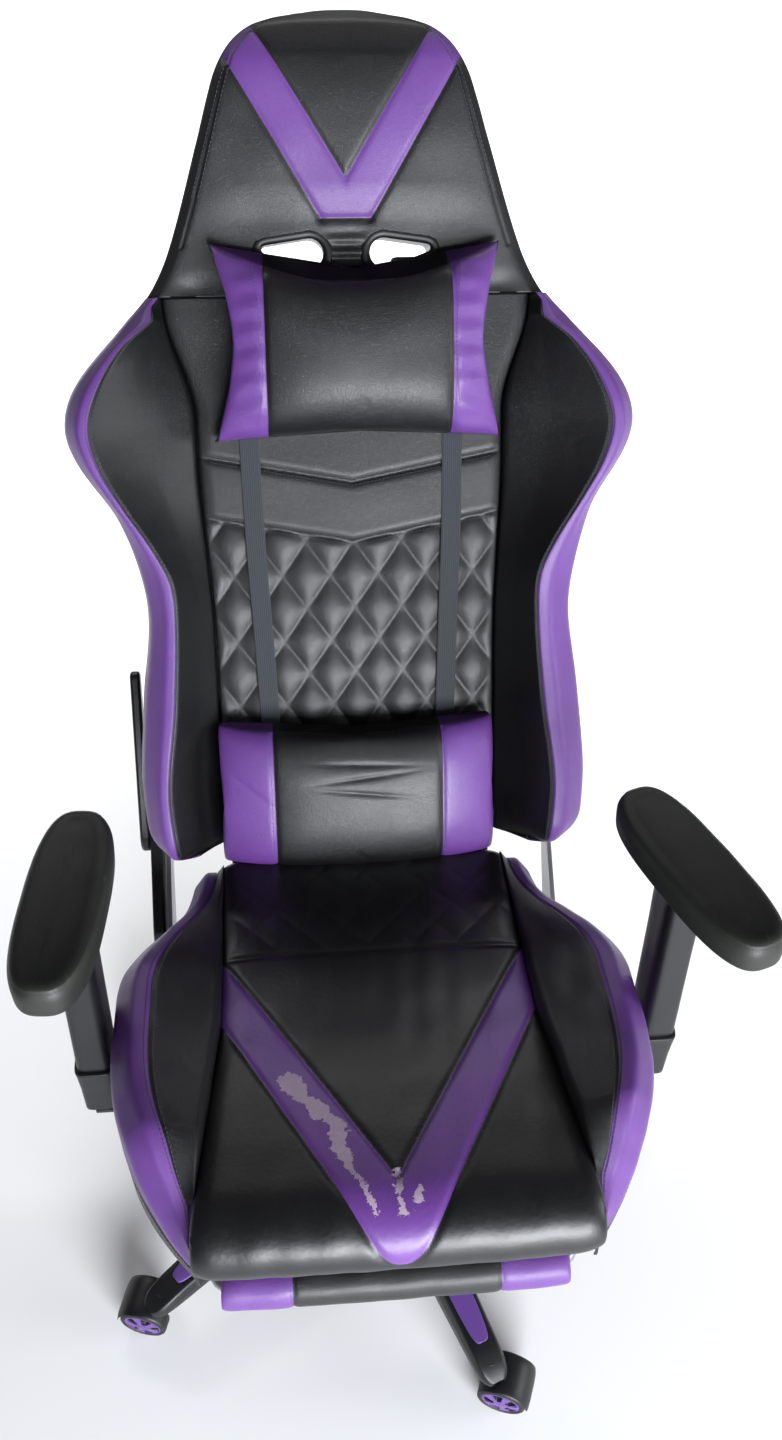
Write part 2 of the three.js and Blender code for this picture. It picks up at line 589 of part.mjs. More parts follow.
// A cushion of the back between two depths, for the given half width at each height.
function backPad(t0, t1, halfWidth, frontDepth, rearDepthAt, power, count) {
  return loft(stations(t0, t1, count).map((t) => {
    const [front, rear] = [frontDepth(t), rearDepthAt(t)];
    return ovalRing(halfWidth(t), (front + rear) / 2, power, 18).map(
      ([u, v]) => new THREE.Vector3(u, v + (rear - front) / 2, t),
    );
  }));
}

function backWing(side) {
  return loft(stations(BACK.bottom, BACK.cushionTop, BACK.stations).map((t) => {
    const [inner, outer, ridge] = [backCentre(t) + GAP, backHalfWidth(t), wingRidge(t)];
    const crest = Math.max(inner + 8, outer - 28);
    const section = [[inner, BACK.split], [inner, 5], [(inner + crest) / 2, ridge * 0.62], [crest - 6, ridge],
      [crest + 6, ridge], [outer - 3, ridge * 0.6], [outer, 6], [outer - 5, BACK.split]];
    return section.map(([x, d]) => new THREE.Vector3(side * x, -d, t));
  }));
}

function rearCover() {
  const shell = backPad(BACK.bottom, BACK.top - 4, (t) => backHalfWidth(t) - 3,
    () => BACK.split - 1, rearDepth, 4, 14);
  const holes = SIDES.map(([, s]) => dropSolid(s, STRAP_HOLE.wall + 0.3, 60, 120));
  return cut(shell, backFrame(FRAME_TUBE.slack), ...holes);
}

function headCushion() {
  const pad = backPad(557, BACK.top, backHalfWidth, headDepth, () => -BACK.split, 4.5, 11);
  return cut(pad, ...SIDES.map(([, s]) => dropSolid(s, STRAP_HOLE.wall + 0.3, 60, 120)));
}

const strapBezel = (side) =>
  cut(dropSolid(side, STRAP_HOLE.wall, STRAP_HOLE.front, STRAP_HOLE.rear), dropSolid(side, 0, 60, 120));

function pillow({ bottom, top, halfWidth, rear, front }) {
  return loft(stations(bottom, top, 9).map((t) => {
    const u = (2 * (t - bottom)) / (top - bottom) - 1;
    const fullness = 0.28 + 0.72 * Math.sqrt(Math.max(0, 1 - u ** 4));
    const depth = (front - rear) * fullness;
    return ovalRing(halfWidth, depth / 2, 3.4, 18).map(
      ([x, v]) => new THREE.Vector3(x, v - rear - depth / 2, t),
    );
  }));
}

add("back_frame", cut(backFrame(0), hingeBore()), BLACK_STEEL, back);
const cushion = backPad(
  BACK.bottom, BACK.cushionTop, backCentre, () => 4, () => -BACK.split, 7, BACK.stations,
);
add("back_cushion", cushion, BLACK_LEATHER, back);
add("headrest_cushion", headCushion(), BLACK_LEATHER, back);
add("back_rear_cover", rearCover(), BLACK_LEATHER, back);
for (const [name, side] of SIDES) {
  add(`back_wing_${name}`, backWing(side), BLACK_LEATHER, back);
  add(`strap_bezel_${name}`, strapBezel(side), BLACK_PLASTIC, back);
  const strap = boxAbout(side * STRAP.x, -(STRAP.front + 4.8) / 2, STRAP.halfWidth, (STRAP.front - 4.8) / 2,
    STRAP.bottom, STRAP.top);
  add(`strap_${name}`, strap, WEBBING, back);
}
add("head_pillow", pillow(HEAD_PILLOW), BLACK_LEATHER, back);
add("lumbar_pillow", pillow(LUMBAR_PILLOW), PURPLE_LEATHER, back);

export default chair;
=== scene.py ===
"""Looks of a high-backed gaming chair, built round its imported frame.

Metres, +Z up. The chair faces -Y, so the sitter's left is +X. Two leaning frames are used besides:
on the back, (x, d, t) is across, out of the back and up along it;
on the seat, (x, y, z) is across, towards the back and up out of the cushion.
"""
import json
import math

import bmesh
import bpy
import numpy as np
from mathutils import Matrix, Vector


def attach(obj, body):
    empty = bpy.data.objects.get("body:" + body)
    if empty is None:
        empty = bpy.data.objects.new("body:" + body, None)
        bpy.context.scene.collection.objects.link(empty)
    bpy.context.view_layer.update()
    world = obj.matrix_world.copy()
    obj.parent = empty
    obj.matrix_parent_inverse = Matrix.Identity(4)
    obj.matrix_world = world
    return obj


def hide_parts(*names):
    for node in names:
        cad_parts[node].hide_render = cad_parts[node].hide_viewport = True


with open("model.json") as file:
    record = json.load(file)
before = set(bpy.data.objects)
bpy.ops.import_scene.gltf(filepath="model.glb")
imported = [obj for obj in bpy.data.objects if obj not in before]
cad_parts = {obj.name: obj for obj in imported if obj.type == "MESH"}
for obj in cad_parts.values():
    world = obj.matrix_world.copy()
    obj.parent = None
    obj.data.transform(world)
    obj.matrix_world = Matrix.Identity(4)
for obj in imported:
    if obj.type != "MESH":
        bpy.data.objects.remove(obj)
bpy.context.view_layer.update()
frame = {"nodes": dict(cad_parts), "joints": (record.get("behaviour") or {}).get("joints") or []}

# ---- places taken from the frame ----
JOINTS = {joint["name"]: joint for joint in frame["joints"]}
ACROSS = np.array([1.0, 0.0, 0.0])
UPRIGHT = np.array([0.0, 0.0, 1.0])
COLUMN = np.array([*JOINTS["seat_swivel"]["pos_m"][:2], 0.0])
BACK_UP = np.array(JOINTS["head_pillow_slide"]["axis"])
BACK_OUT = np.cross(BACK_UP, ACROSS) * -1
SEAT_UP = np.array(JOINTS["arm_height_left"]["axis"])
SEAT_REARWARD = np.cross(SEAT_UP, ACROSS)
BACK_FOOT = COLUMN + [0, 0.204, 0.386]
SEAT_MIDDLE = COLUMN + [0, -0.030, 0.396]
SIDES = [("left", 1), ("right", -1)]


def placed(origin, axes, *coordinates):
    """Points of a leaning frame put in the chair's frame: the origin plus each coordinate times its axis."""
    return origin + np.stack(np.broadcast_arrays(*coordinates), -1) @ np.array(axes)


def on_back(x, d, t):
    return placed(BACK_FOOT, [ACROSS, BACK_OUT, BACK_UP], x, d, t)


def on_seat(x, y, z):
    return placed(SEAT_MIDDLE, [ACROSS, SEAT_REARWARD, SEAT_UP], x, y, z)


def on_floor(x, y, z):
    return placed(COLUMN, np.eye(3), x, y, z)


# ---- camera ----
EYE = COLUMN + [-0.0807, -0.7364, 1.5098]
PAN, TILT, ROLL = math.radians(6.717), math.radians(45.766), math.radians(2.436)
SENSOR = 36.0
LENS = 32.585


def make_camera():
    """Looks along the pan to the right of +Y, the tilt below level, then rolls about that line."""
    ahead = Vector((math.sin(PAN) * math.cos(TILT), math.cos(PAN) * math.cos(TILT), -math.sin(TILT)))
    level = Vector((math.cos(PAN), -math.sin(PAN), 0))
    above = level.cross(ahead)
    right = level * math.cos(ROLL) + above * math.sin(ROLL)
    up = above * math.cos(ROLL) - level * math.sin(ROLL)
    data = bpy.data.cameras.new("camera")
    data.lens = LENS
    data.sensor_width = SENSOR
    camera = bpy.data.objects.new("camera", data)
    camera.matrix_world = Matrix.Translation(Vector(EYE)) @ Matrix((right, up, -ahead)).transposed().to_4x4()
    bpy.context.scene.collection.objects.link(camera)
    bpy.context.scene.camera = camera


make_camera()


# ---- numbers and curves ----
def smooth(v):
    """0 below 0, 1 above 1, and level at both ends between."""
    v = np.clip(v, 0, 1)
    return v * v * (3 - 2 * v)


def curve(knots):
    """A smooth function through [place, value] knots: cubic spans, sloping at a knot as its neighbours do."""
    places, values = np.array(knots, float).T
    slopes = np.zeros(len(knots))
    slopes[1:-1] = (values[2:] - values[:-2]) / (places[2:] - places[:-2])

    def at(place):
        place = np.clip(place, places[0], places[-1])
        i = np.clip(np.searchsorted(places, place, side="right") - 1, 0, len(places) - 2)
        span = places[i + 1] - places[i]
        u = (place - places[i]) / span
        ends = values[i] * (2 * u**3 - 3 * u**2 + 1) + values[i + 1] * (3 * u**2 - 2 * u**3)
        return ends + span * (slopes[i] * (u**3 - 2 * u**2 + u) + slopes[i + 1] * (u**3 - u**2))

    return at


def valley(distance, width):
    """The pull of a seam on the stuffing beside it: 1 on the seam, 1/2 a width away, fading smoothly."""
    return 1 / (1 + (distance / width) ** 2)


def rounded_run(length, thickness, power, count):
    """Even steps round the end-to-end side of a superellipse of that length and thickness.

    Returns the places from -1 to 1 and the share of the full thickness at each."""
    angle = np.linspace(-np.pi / 2, np.pi / 2, 4001)
    place = np.sign(np.sin(angle)) * np.abs(np.sin(angle)) ** (2 / power)
    share = np.abs(np.cos(angle)) ** (2 / power)
    steps = np.hypot(np.diff(place) * length, np.diff(share) * thickness)
    walked = np.concatenate([[0], np.cumsum(steps)])
    even = np.linspace(0, walked[-1], count + 2)[1:-1]
    return np.interp(even, walked, place), np.interp(even, walked, share)


def one_round_end(start, end, length, power, count):
    """Stations from a square start to an end that rounds off over its last length.

    Returns the stations, closer together in the rounding, and the share of the full size at each."""
    turn = np.linspace(0, math.pi / 2, 26)[1:]
    heading = math.copysign(1, end - start)
    rounding = end - heading * length * (1 - np.sin(turn) ** (2 / power))
    plain = np.linspace(start, end - heading * length, count)
    share = np.concatenate([np.ones(count), np.maximum(np.cos(turn), 0.02) ** (2 / power)])
    return np.concatenate([plain, rounding]), share


def rounded_ring(ring, passes):
    """A closed line of points, each made the 1-2-1 average of itself and its neighbours, passes times over."""
    for _ in range(passes):
        ring = (np.roll(ring, 1, -2) + 2 * ring + np.roll(ring, -1, -2)) / 4
    return ring


def soft_outline(points, steps, passes):
    """Walks a closed outline from corner to corner in even steps, then rounds it."""
    ahead = np.roll(points, -1, axis=-2)
    runs = []
    for side, count in enumerate(steps):
        share = (np.arange(count) / count)[:, None]
        runs.append(points[..., side, None, :] * (1 - share) + ahead[..., side, None, :] * share)
    return rounded_ring(np.concatenate(runs, axis=-2), passes)


def corners(*pairs):
    """Outline corners from (first, second) pairs, each a number or an array over the stations."""
    spread = np.broadcast_arrays(*[member for pair in pairs for member in pair])
    return np.stack([np.stack(pair, -1) for pair in zip(spread[0::2], spread[1::2])], -2)


def along(path, spacing):
    """Points at even steps of about the spacing along a line of points."""
    path = np.asarray(path, float)
    walked = np.concatenate([[0], np.cumsum(np.linalg.norm(np.diff(path, axis=0), axis=1))])
    even = np.linspace(0, walked[-1], max(2, round(walked[-1] / spacing) + 1))
    return np.stack([np.interp(even, walked, path[:, axis]) for axis in range(3)], -1)


def even_loop(first, second, spacing):
    """A closed outline's corners, walked all the way round in even steps of about the spacing."""
    return along(np.stack([first, second, 0 * first], -1)[[*range(len(first)), 0]], spacing)[:-1, :2]


def spline(points, count):
    """A smooth line through a few points: each coordinate is a curve of the length walked."""
    points = np.asarray(points, float)
    walked = np.concatenate([[0], np.cumsum(np.linalg.norm(np.diff(points, axis=0), axis=1))])
    even = np.linspace(0, walked[-1], count)
    slope = np.gradient(points, walked, axis=0)
    i = np.clip(np.searchsorted(walked, even, side="right") - 1, 0, len(points) - 2)
    span = (walked[i + 1] - walked[i])[:, None]
    u = (even - walked[i])[:, None] / span
    ends = points[i] * (2 * u**3 - 3 * u**2 + 1) + points[i + 1] * (3 * u**2 - 2 * u**3)
    return ends + span * (slope[i] * (u**3 - 2 * u**2 + u) + slope[i + 1] * (u**3 - u**2))


def wander(x, y, seed, waves=5, longest=0.12):
    """A gentle uneven field from -1 to 1: the mean of a few sine waves of seeded directions and lengths."""
    draw = np.random.default_rng(seed)
    total = 0
    for _ in range(waves):
        turn, shift, length = draw.uniform(0, np.pi), draw.uniform(0, 2 * np.pi), longest * draw.uniform(0.3, 1)
        total = total + np.sin(2 * np.pi * (x * np.cos(turn) + y * np.sin(turn)) / length + shift)
    return total / waves


# ---- meshes ----
def lofted(rings):
    """Closed rings joined by quads, and a fan of triangles from the middle of each end ring."""
    stations, around = rings.shape[:2]
    index = np.arange(stations * around).reshape(stations, around)
    ahead = np.roll(index, -1, axis=1)
    quads = np.stack([index[:-1], ahead[:-1], ahead[1:], index[1:]], -1).reshape(-1, 4)
    pole = stations * around
    first = np.stack([ahead[0], index[0], np.full(around, pole)], -1)
    last = np.stack([index[-1], ahead[-1], np.full(around, pole + 1)], -1)
    points = np.concatenate([rings.reshape(-1, 3), rings[[0, -1]].mean(1)])
    return points, quads, np.concatenate([first, last])


def looped(rings):
    """Closed rings joined by quads all the way round, the last to the first."""
    stations, around = rings.shape[:2]
    index = np.arange(stations * around).reshape(stations, around)
    nxt = np.roll(index, -1, axis=0)
    quads = np.stack([index, np.roll(index, -1, 1), np.roll(nxt, -1, 1), nxt], -1).reshape(-1, 4)
    return rings.reshape(-1, 3), quads, np.zeros((0, 3), int)


def volume(points, quads, tris):
    """Six times the signed volume: the sum of the triangles' triple products."""
    three = np.concatenate([quads[:, [0, 1, 2]], quads[:, [0, 2, 3]], tris])
    a, b, c = (points[three[:, k]] for k in range(3))
    return np.einsum("ij,ij->", a, np.cross(b, c))


def facing_out(shell):
    """The shell with every face turned round if it is inside out."""
    points, quads, tris = shell
    middle = points.mean(0)
    if volume(points - middle, quads, tris) < 0:
        return points, quads[:, ::-1], tris[:, ::-1]
    return shell


def together(shells):
    """Several shells as one."""
    offsets = np.cumsum([0] + [len(points) for points, _, _ in shells])
    return (
        np.concatenate([points for points, _, _ in shells]),
        np.concatenate([quads + offset for (_, quads, _), offset in zip(shells, offsets)]),
        np.concatenate([tris + offset for (_, _, tris), offset in zip(shells, offsets)]),
    )


def mesh_object(name, shell, finishes, zones=None, pattern=None, sharp=None):
    """Puts points and faces in a mesh object, with a material for each zone of faces.

    pattern gives each point its place in the material's own measures. Edges over sharp degrees stay crisp."""
    points, quads, tris = shell
    mesh = bpy.data.meshes.new(name)
    mesh.vertices.add(len(points))
    mesh.vertices.foreach_set("co", np.ascontiguousarray(points, np.float32).ravel())
    turns = np.concatenate([quads.ravel(), tris.ravel()]).astype(np.int32)
    mesh.loops.add(len(turns))
    mesh.loops.foreach_set("vertex_index", turns)
    sizes = np.concatenate([np.full(len(quads), 4), np.full(len(tris), 3)])
    mesh.polygons.add(len(sizes))
    mesh.polygons.foreach_set("loop_start", (np.cumsum(sizes) - sizes).astype(np.int32))
    if zones is not None:
        mesh.polygons.foreach_set("material_index", np.asarray(zones, np.int32))
    mesh.polygons.foreach_set("use_smooth", np.ones(len(sizes), bool))
    mesh.update(calc_edges=True)
    if pattern is not None:
        mesh.attributes.new("pattern", "FLOAT_VECTOR", "POINT")
        mesh.attributes["pattern"].data.foreach_set("vector", np.ascontiguousarray(pattern, np.float32).ravel())
    if sharp is not None:
        mesh.set_sharp_from_angle(angle=math.radians(sharp))
    for finish in finishes if isinstance(finishes, list) else [finishes]:
        mesh.materials.append(finish)
    piece = bpy.data.objects.new(name, mesh)
    bpy.context.scene.collection.objects.link(piece)
    return piece


def fitted(piece, body, stands_for=()):
    """Joins a finished piece to its body, and hides the frame parts that it stands for."""
    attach(piece, body)
    if stands_for:
        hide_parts(*stands_for)
    return piece


def hard_piece(name, shell, finish, body, stands_for, sharp=50):
    """A moulded, turned or bent piece, joined to its body, that stands for one part of the frame."""
    return fitted(mesh_object(name, shell, finish, sharp=sharp), body, [stands_for])


def grid_pattern(*coordinates):
    """Each grid point's own coordinates in a row, and the end rings' middles after them."""
    grid = np.stack(np.broadcast_arrays(*coordinates), -1)
    return np.concatenate([grid.reshape(-1, grid.shape[-1]), grid[[0, -1]].mean(1)])


def grid_zones(zone):
    """A zone number for each quad of a loft, from one for each grid point, and then for the two end fans."""
    return np.concatenate([zone[:-1].ravel(), zone[0], zone[-1]])


def outward(rings):
    """Unit normals of a grid of closed rings, from the steps to each point's neighbours, turned to face out."""
    lengthways = np.gradient(rings, axis=0)
    roundabout = np.roll(rings, -1, 1) - np.roll(rings, 1, 1)
    normal = np.cross(roundabout, lengthways)
    normal /= np.linalg.norm(normal, axis=-1, keepdims=True) + 1e-12
    from_middle = rings - rings.mean(1, keepdims=True)
    return normal if (normal * from_middle).sum() > 0 else -normal


def tube_shell(path, radius, sides=8, flat=1.0, level=UPRIGHT):
    """A tube along a line of points: an oval ring across it at each, flat times as thick as it is wide."""
    ahead = np.gradient(path, axis=0)
    ahead /= np.linalg.norm(ahead, axis=1, keepdims=True) + 1e-12
    side = np.cross(ahead, level)
    side /= np.linalg.norm(side, axis=1, keepdims=True) + 1e-12
    above = np.cross(side, ahead)
    turn = np.arange(sides) * 2 * np.pi / sides
    radius = np.broadcast_to(radius, len(path))[:, None, None]
    oval = side[:, None] * np.cos(turn)[:, None] + above[:, None] * np.sin(turn)[:, None] * flat
    return facing_out(lofted(path[:, None] + radius * oval))


def stitch_shell(path, normals, pitch=0.0042, length=0.0030, thickness=0.00042):
    """A row of short threads lying on a seam: one six-sided capsule per stitch, along the line."""
    steps = along(path, pitch)
    place = (steps[1:] + steps[:-1]) / 2
    ahead = steps[1:] - steps[:-1]
    ahead /= np.linalg.norm(ahead, axis=1, keepdims=True) + 1e-12
    nearest = np.linspace(0, len(normals) - 1, len(place)).round().astype(int)
    side = np.cross(ahead, normals[nearest])
    side /= np.linalg.norm(side, axis=1, keepdims=True) + 1e-12
    up = np.cross(side, ahead)
    swell = np.array([0.45, 1.0, 1.0, 0.45])
    run = np.array([-0.5, -0.32, 0.32, 0.5]) * length
    turn = np.arange(6) * np.pi / 3
    oval = np.stack([np.cos(turn), np.sin(turn)], -1) * thickness
    template = np.concatenate(
        [np.broadcast_to(run[:, None, None], (4, 6, 1)), swell[:, None, None] * oval[None]], -1
    )
    axes = np.stack([ahead, side, up], 1)
    rings = place[:, None, None] + np.einsum("sra,nac->nsrc", template, axes)
    shell = facing_out(lofted(rings[0]))
    count = len(shell[0])
    poles = rings[:, [0, -1]].mean(2)
    points = np.concatenate([rings.reshape(len(place), -1, 3), poles], 1).reshape(-1, 3)
    offset = (np.arange(len(place)) * count)[:, None, None]
    return points, (shell[1] + offset).reshape(-1, 4), (shell[2] + offset).reshape(-1, 3)


def spokes(axis, sides):
    """An axis as a unit step, and even unit steps out from it all the way round."""
    axis = np.asarray(axis, float) / np.linalg.norm(axis)
    first = np.cross(axis, ACROSS if abs(axis[0]) < 0.8 else UPRIGHT)
    first /= np.linalg.norm(first)
    second = np.cross(axis, first)
    turn = np.arange(sides) * 2 * np.pi / sides
    return axis, np.cos(turn)[:, None] * first + np.sin(turn)[:, None] * second


def turned_shell(profile, centre, axis=UPRIGHT, sides=72):
    """A closed (radius, height) outline turned about an axis through the centre."""
    profile = np.asarray(profile, float)
    axis, spoke = spokes(axis, sides)
    rings = centre + profile[None, :, :1] * spoke[:, None] + profile[None, :, 1:] * axis
    return facing_out(looped(rings))


def rod_shell(profile, centre, axis=UPRIGHT, sides=48):
    """A solid bar turned about an axis: rings of the (radius, height) profile, with a fan at each end."""
    profile = np.asarray(profile, float)
    axis, spoke = spokes(axis, sides)
    rings = centre + profile[:, None, :1] * spoke[None] + profile[:, None, 1:] * axis
    return facing_out(lofted(rings))


def dressed(name, node, finish, edge=0.0009):
    """A copy of a frame part whose doubles are merged, flats joined and edges eased by a small round."""
    source = frame["nodes"][node]
    mesh = source.data.copy()
    mesh.name = name
    work = bmesh.new()
    work.from_mesh(mesh)
    bmesh.ops.remove_doubles(work, verts=work.verts, dist=2e-5)
    bmesh.ops.dissolve_limit(work, angle_limit=math.radians(2), verts=work.verts, edges=work.edges)
    bmesh.ops.recalc_face_normals(work, faces=work.faces)
    work.to_mesh(mesh)
    work.free()
    mesh.materials.clear()
    mesh.materials.append(finish)
    piece = bpy.data.objects.new(name, mesh)
    bpy.context.scene.collection.objects.link(piece)
    bevel = piece.modifiers.new("eased edges", "BEVEL")
    bevel.width = edge
    bevel.segments = 2
    bevel.limit_method = "ANGLE"
    bevel.angle_limit = math.radians(38)
    bevel.use_clamp_overlap = True
    mesh.polygons.foreach_set("use_smooth", np.ones(len(mesh.polygons), bool))
    mesh.set_sharp_from_angle(angle=math.radians(38))
    return piece


# ---- finishes ----
def srgb(red, green, blue):
    """A screen colour of 0 to 255 a channel as the light that it stands for."""
    screen = np.array([red, green, blue]) / 255
    return tuple(np.where(screen < 0.04045, screen / 12.92, ((screen + 0.055) / 1.055) ** 2.4).tolist())


class Wire:
    """A number or colour carried between shader nodes. Python's signs on it add Math nodes."""

    def __init__(self, finish, socket):
        self.finish = finish
        self.socket = socket

    def math(self, operation, *others):
        return self.finish.node("Math", {"operation": operation}, (self, *others))

    def __add__(self, other):
        return self.math("ADD", other)

    def __sub__(self, other):
        return self.math("SUBTRACT", other)

    def __mul__(self, other):
        return self.math("MULTIPLY", other)

    def __pow__(self, other):
        return self.math("POWER", other)

    def __gt__(self, other):
        return self.math("GREATER_THAN", other)

    def __lt__(self, other):
        return self.math("LESS_THAN", other)

    def __abs__(self):
        return self.math("ABSOLUTE")

    __radd__ = __add__
    __rmul__ = __mul__


class Finish:
    """A material in the making: its nodes, and the shader that they end in."""

    def __init__(self, name):
        self.material = bpy.data.materials.new(name)
        self.material.use_nodes = True
        self.tree = self.material.node_tree
        self.shader = self.tree.nodes["Principled BSDF"]

    def put(self, value, socket):
        if isinstance(value, Wire):
            self.tree.links.new(value.socket, socket)
        else:
            socket.default_value = (*value, 1) if socket.type == "RGBA" and len(value) == 3 else value

    def node(self, kind, settings=None, values=(), output=0):
        node = self.tree.nodes.new("ShaderNode" + kind)
        for key, value in (settings or {}).items():
            setattr(node, key, value)
        for key, value in values.items() if isinstance(values, dict) else enumerate(values):
            self.put(value, node.inputs[key])
        return Wire(self, node.outputs[output])

    def place(self):
        return self.node("TexCoord", output="Object")

    def pattern(self):
        """The three numbers of the piece's own pattern."""
        whole = self.node("Attribute", {"attribute_name": "pattern"}, output="Vector")
        return whole, [self.node("SeparateXYZ", None, [whole], output) for output in range(3)]

    def noise(self, place, scale, detail=2.0, roughness=0.5):
        inputs = {"Vector": place, "Scale": scale, "Detail": detail, "Roughness": roughness}
        return self.node("TexNoise", None, inputs)

    def pebbles(self, place, scale, crease):
        """Small raised cells with creases between: 0 in a crease and 1 on a cell."""
        edge = self.node("TexVoronoi", {"feature": "DISTANCE_TO_EDGE"}, {"Vector": place, "Scale": scale})
        return self.ramp(edge, 0, crease)

    def ramp(self, value, low, high):
        """0 where the value is under low, 1 over high, smooth between."""
        inputs = {"Value": value, "From Min": low, "From Max": high}
        return self.node("MapRange", {"interpolation_type": "SMOOTHSTEP"}, inputs)

    def stretched(self, place, across, along, up):
        return self.node("Mapping", None, {"Vector": place, "Scale": (across, along, up)})

    def mix(self, share, first, second):
        return self.node("Mix", {"data_type": "RGBA"}, {0: share, 6: first, 7: second}, output=2)

    def shaded(self, colour, shade):
        return self.node("VectorMath", {"operation": "SCALE"}, {0: colour, "Scale": shade})

    def bump(self, height, distance, strength=1.0):
        return self.node("Bump", None, {"Height": height, "Distance": distance, "Strength": strength})

    def finished(self, **sockets):
        for name, value in sockets.items():
            self.put(value, self.shader.inputs[name.replace("_", " ")])
        return self.material


BLACK_HIDE = srgb(12, 12, 14)
PURPLE_HIDE = srgb(98, 56, 134)
BARE_CLOTH = srgb(172, 150, 174)
BLACK_MOULDED = srgb(14, 14, 16)
PURPLE_MOULDED = srgb(92, 62, 132)
RIB_PITCH, WEFT_PITCH = 0.0021, 0.0015
NECK_SEAM, WAIST_SEAM, FOOT_SEAM = 0.0915, 0.090, 0.094


def root(a):
    """The square root of a shader's number, or of a mesh's."""
    return a.math("SQRT") if isinstance(a, Wire) else np.sqrt(a)


# The V on the headrest: its sides are straight lines, and these are the distances outside each one.
def head_v_outer(x, t):
    return (abs(x) - 0.025) * 0.851 - (t - 0.627) * 0.525


def head_v_inner(x, t):
    return abs(x) * 0.842 - (t - 0.663) * 0.540


# The V on the seat: its outer edge is rounded where its sides meet at the front.
def seat_v_outer(x, y):
    return (root(x * x + 0.0004) - 0.151) * 0.882 - (y + 0.040) * 0.471


def seat_v_inner(x, y):
    return abs(x) * 0.861 - (y + 0.213) * 0.5086


def hide(finish, colour, shine=0.0):
    """Pebbled coated leather: tight creases between raised cells, whose colour is darkened there as painted shade,
    and a slow unevenness of tone and shine.
    """
    place = finish.place()
    cells = finish.pebbles(place, 760, 0.16)
    cloudy = finish.noise(place, 11, 3, 0.6)
    soft = finish.noise(place, 190, 2)
    # painted shade: the colour is made a little darker in the creases between the cells than on them, besides the
    # random cloudy tone
    tone = cloudy * 0.34 + cells * 0.16 + 0.70
    return {
        "Base_Color": finish.shaded(colour, tone),
        "Roughness": cloudy * 0.16 + soft * 0.08 - cells * 0.07 + (0.36 - shine),
        "Normal": finish.bump(cells * 0.6 + soft * 0.8, 0.00022, 0.8),
        "Specular_IOR_Level": 0.5,
        "Coat_Weight": 0.12,
        "Coat_Roughness": 0.3,
    }


def leather(name, colour, shine=0.0):
    finish = Finish(name)
    return finish.finished(**hide(finish, colour, shine))


def head_leather():
    """Black leather with the purple V let in."""
    finish = Finish("headrest leather")
    _, (x, _, t) = finish.pattern()
    band = (head_v_outer(x, t) < 0) * (head_v_inner(x, t) > 0) * (t > 0.627)
    return finish.finished(**hide(finish, finish.mix(band, BLACK_HIDE, PURPLE_HIDE)))


def seat_leather():
    """Black leather with the purple V, whose film has flaked off in a few ragged streaks over pale cloth."""
    finish = Finish("seat leather")
    whole, (x, y, _) = finish.pattern()
    band = (seat_v_outer(x, y) < 0) * (seat_v_inner(x, y) > 0) * (y < 0.046)
    ragged = finish.noise(whole, 46, 5, 0.72) - 0.5
    streaks = [
        ((-0.089, -0.106), (-0.076, -0.124), 0.0085),
        ((-0.076, -0.126), (-0.050, -0.160), 0.0070),
        ((-0.050, -0.160), (-0.042, -0.196), 0.0052),
        ((-0.042, -0.196), (-0.020, -0.240), 0.0030),
        ((0.002, -0.205), (0.001, -0.240), 0.0030),
        ((0.018, -0.224), (0.016, -0.236), 0.0020),
    ]
    bare = None
    for (x0, y0), (x1, y1), half in streaks:
        step = (x1 - x0, y1 - y0)
        length = step[0] ** 2 + step[1] ** 2
        share = (x - x0) * (step[0] / length) + (y - y0) * (step[1] / length)
        share = share.math("MAXIMUM", 0).math("MINIMUM", 1)
        gap = root((x - x0 - share * step[0]) ** 2 + (y - y0 - share * step[1]) ** 2)
        here = finish.ramp(gap + ragged * 0.042, half + 0.0004, half - 0.0004)
        bare = here if bare is None else bare.math("MAXIMUM", here)
    coloured = finish.mix(band, BLACK_HIDE, PURPLE_HIDE)
    sockets = hide(finish, finish.mix(bare, coloured, BARE_CLOTH), shine=0.02)
    sockets["Roughness"] = sockets["Roughness"] + bare * 0.35
    weave = finish.noise(whole, 900, 1) * bare * 0.4
    lifted = finish.bump(finish.noise(whole, 190, 2) * 0.8 + weave - bare * 1.6, 0.0003, 0.9)
    return finish.finished(**{**sockets, "Normal": lifted})


def pillow_leather(name, seam, cap):
    """Purple leather with a black middle up to the seams, and black ends past the cap's share of the width."""
    finish = Finish(name)
    _, (x, share, _) = finish.pattern()
    purple = (abs(x) > seam) * (abs(share) < cap)
    return finish.finished(**hide(finish, finish.mix(purple, BLACK_HIDE, PURPLE_HIDE), shine=0.03))


def moulded(name, colour, roughness=0.42, grain=1500):
    """Moulded nylon: fine spark-eroded grain, faint flow clouds, and a few dry scuffs that catch the light."""
    finish = Finish(name)
    place = finish.place()
    sparks = finish.noise(place, grain, 2, 0.6)
    clouds = finish.noise(place, 14, 3)
    scuffs = finish.ramp(finish.noise(finish.stretched(place, 60, 9, 60), 5, 4, 0.7), 0.63, 0.72)
    return finish.finished(
        Base_Color=finish.mix(scuffs * 0.10, finish.shaded(colour, clouds * 0.3 + 0.85), srgb(120, 120, 124)),
        Roughness=clouds * 0.14 + scuffs * 0.12 + sparks * 0.06 + (roughness - 0.10),
        Normal=finish.bump(sparks + scuffs * 0.2, 0.00012, 0.6),
        Specular_IOR_Level=0.5,
    )


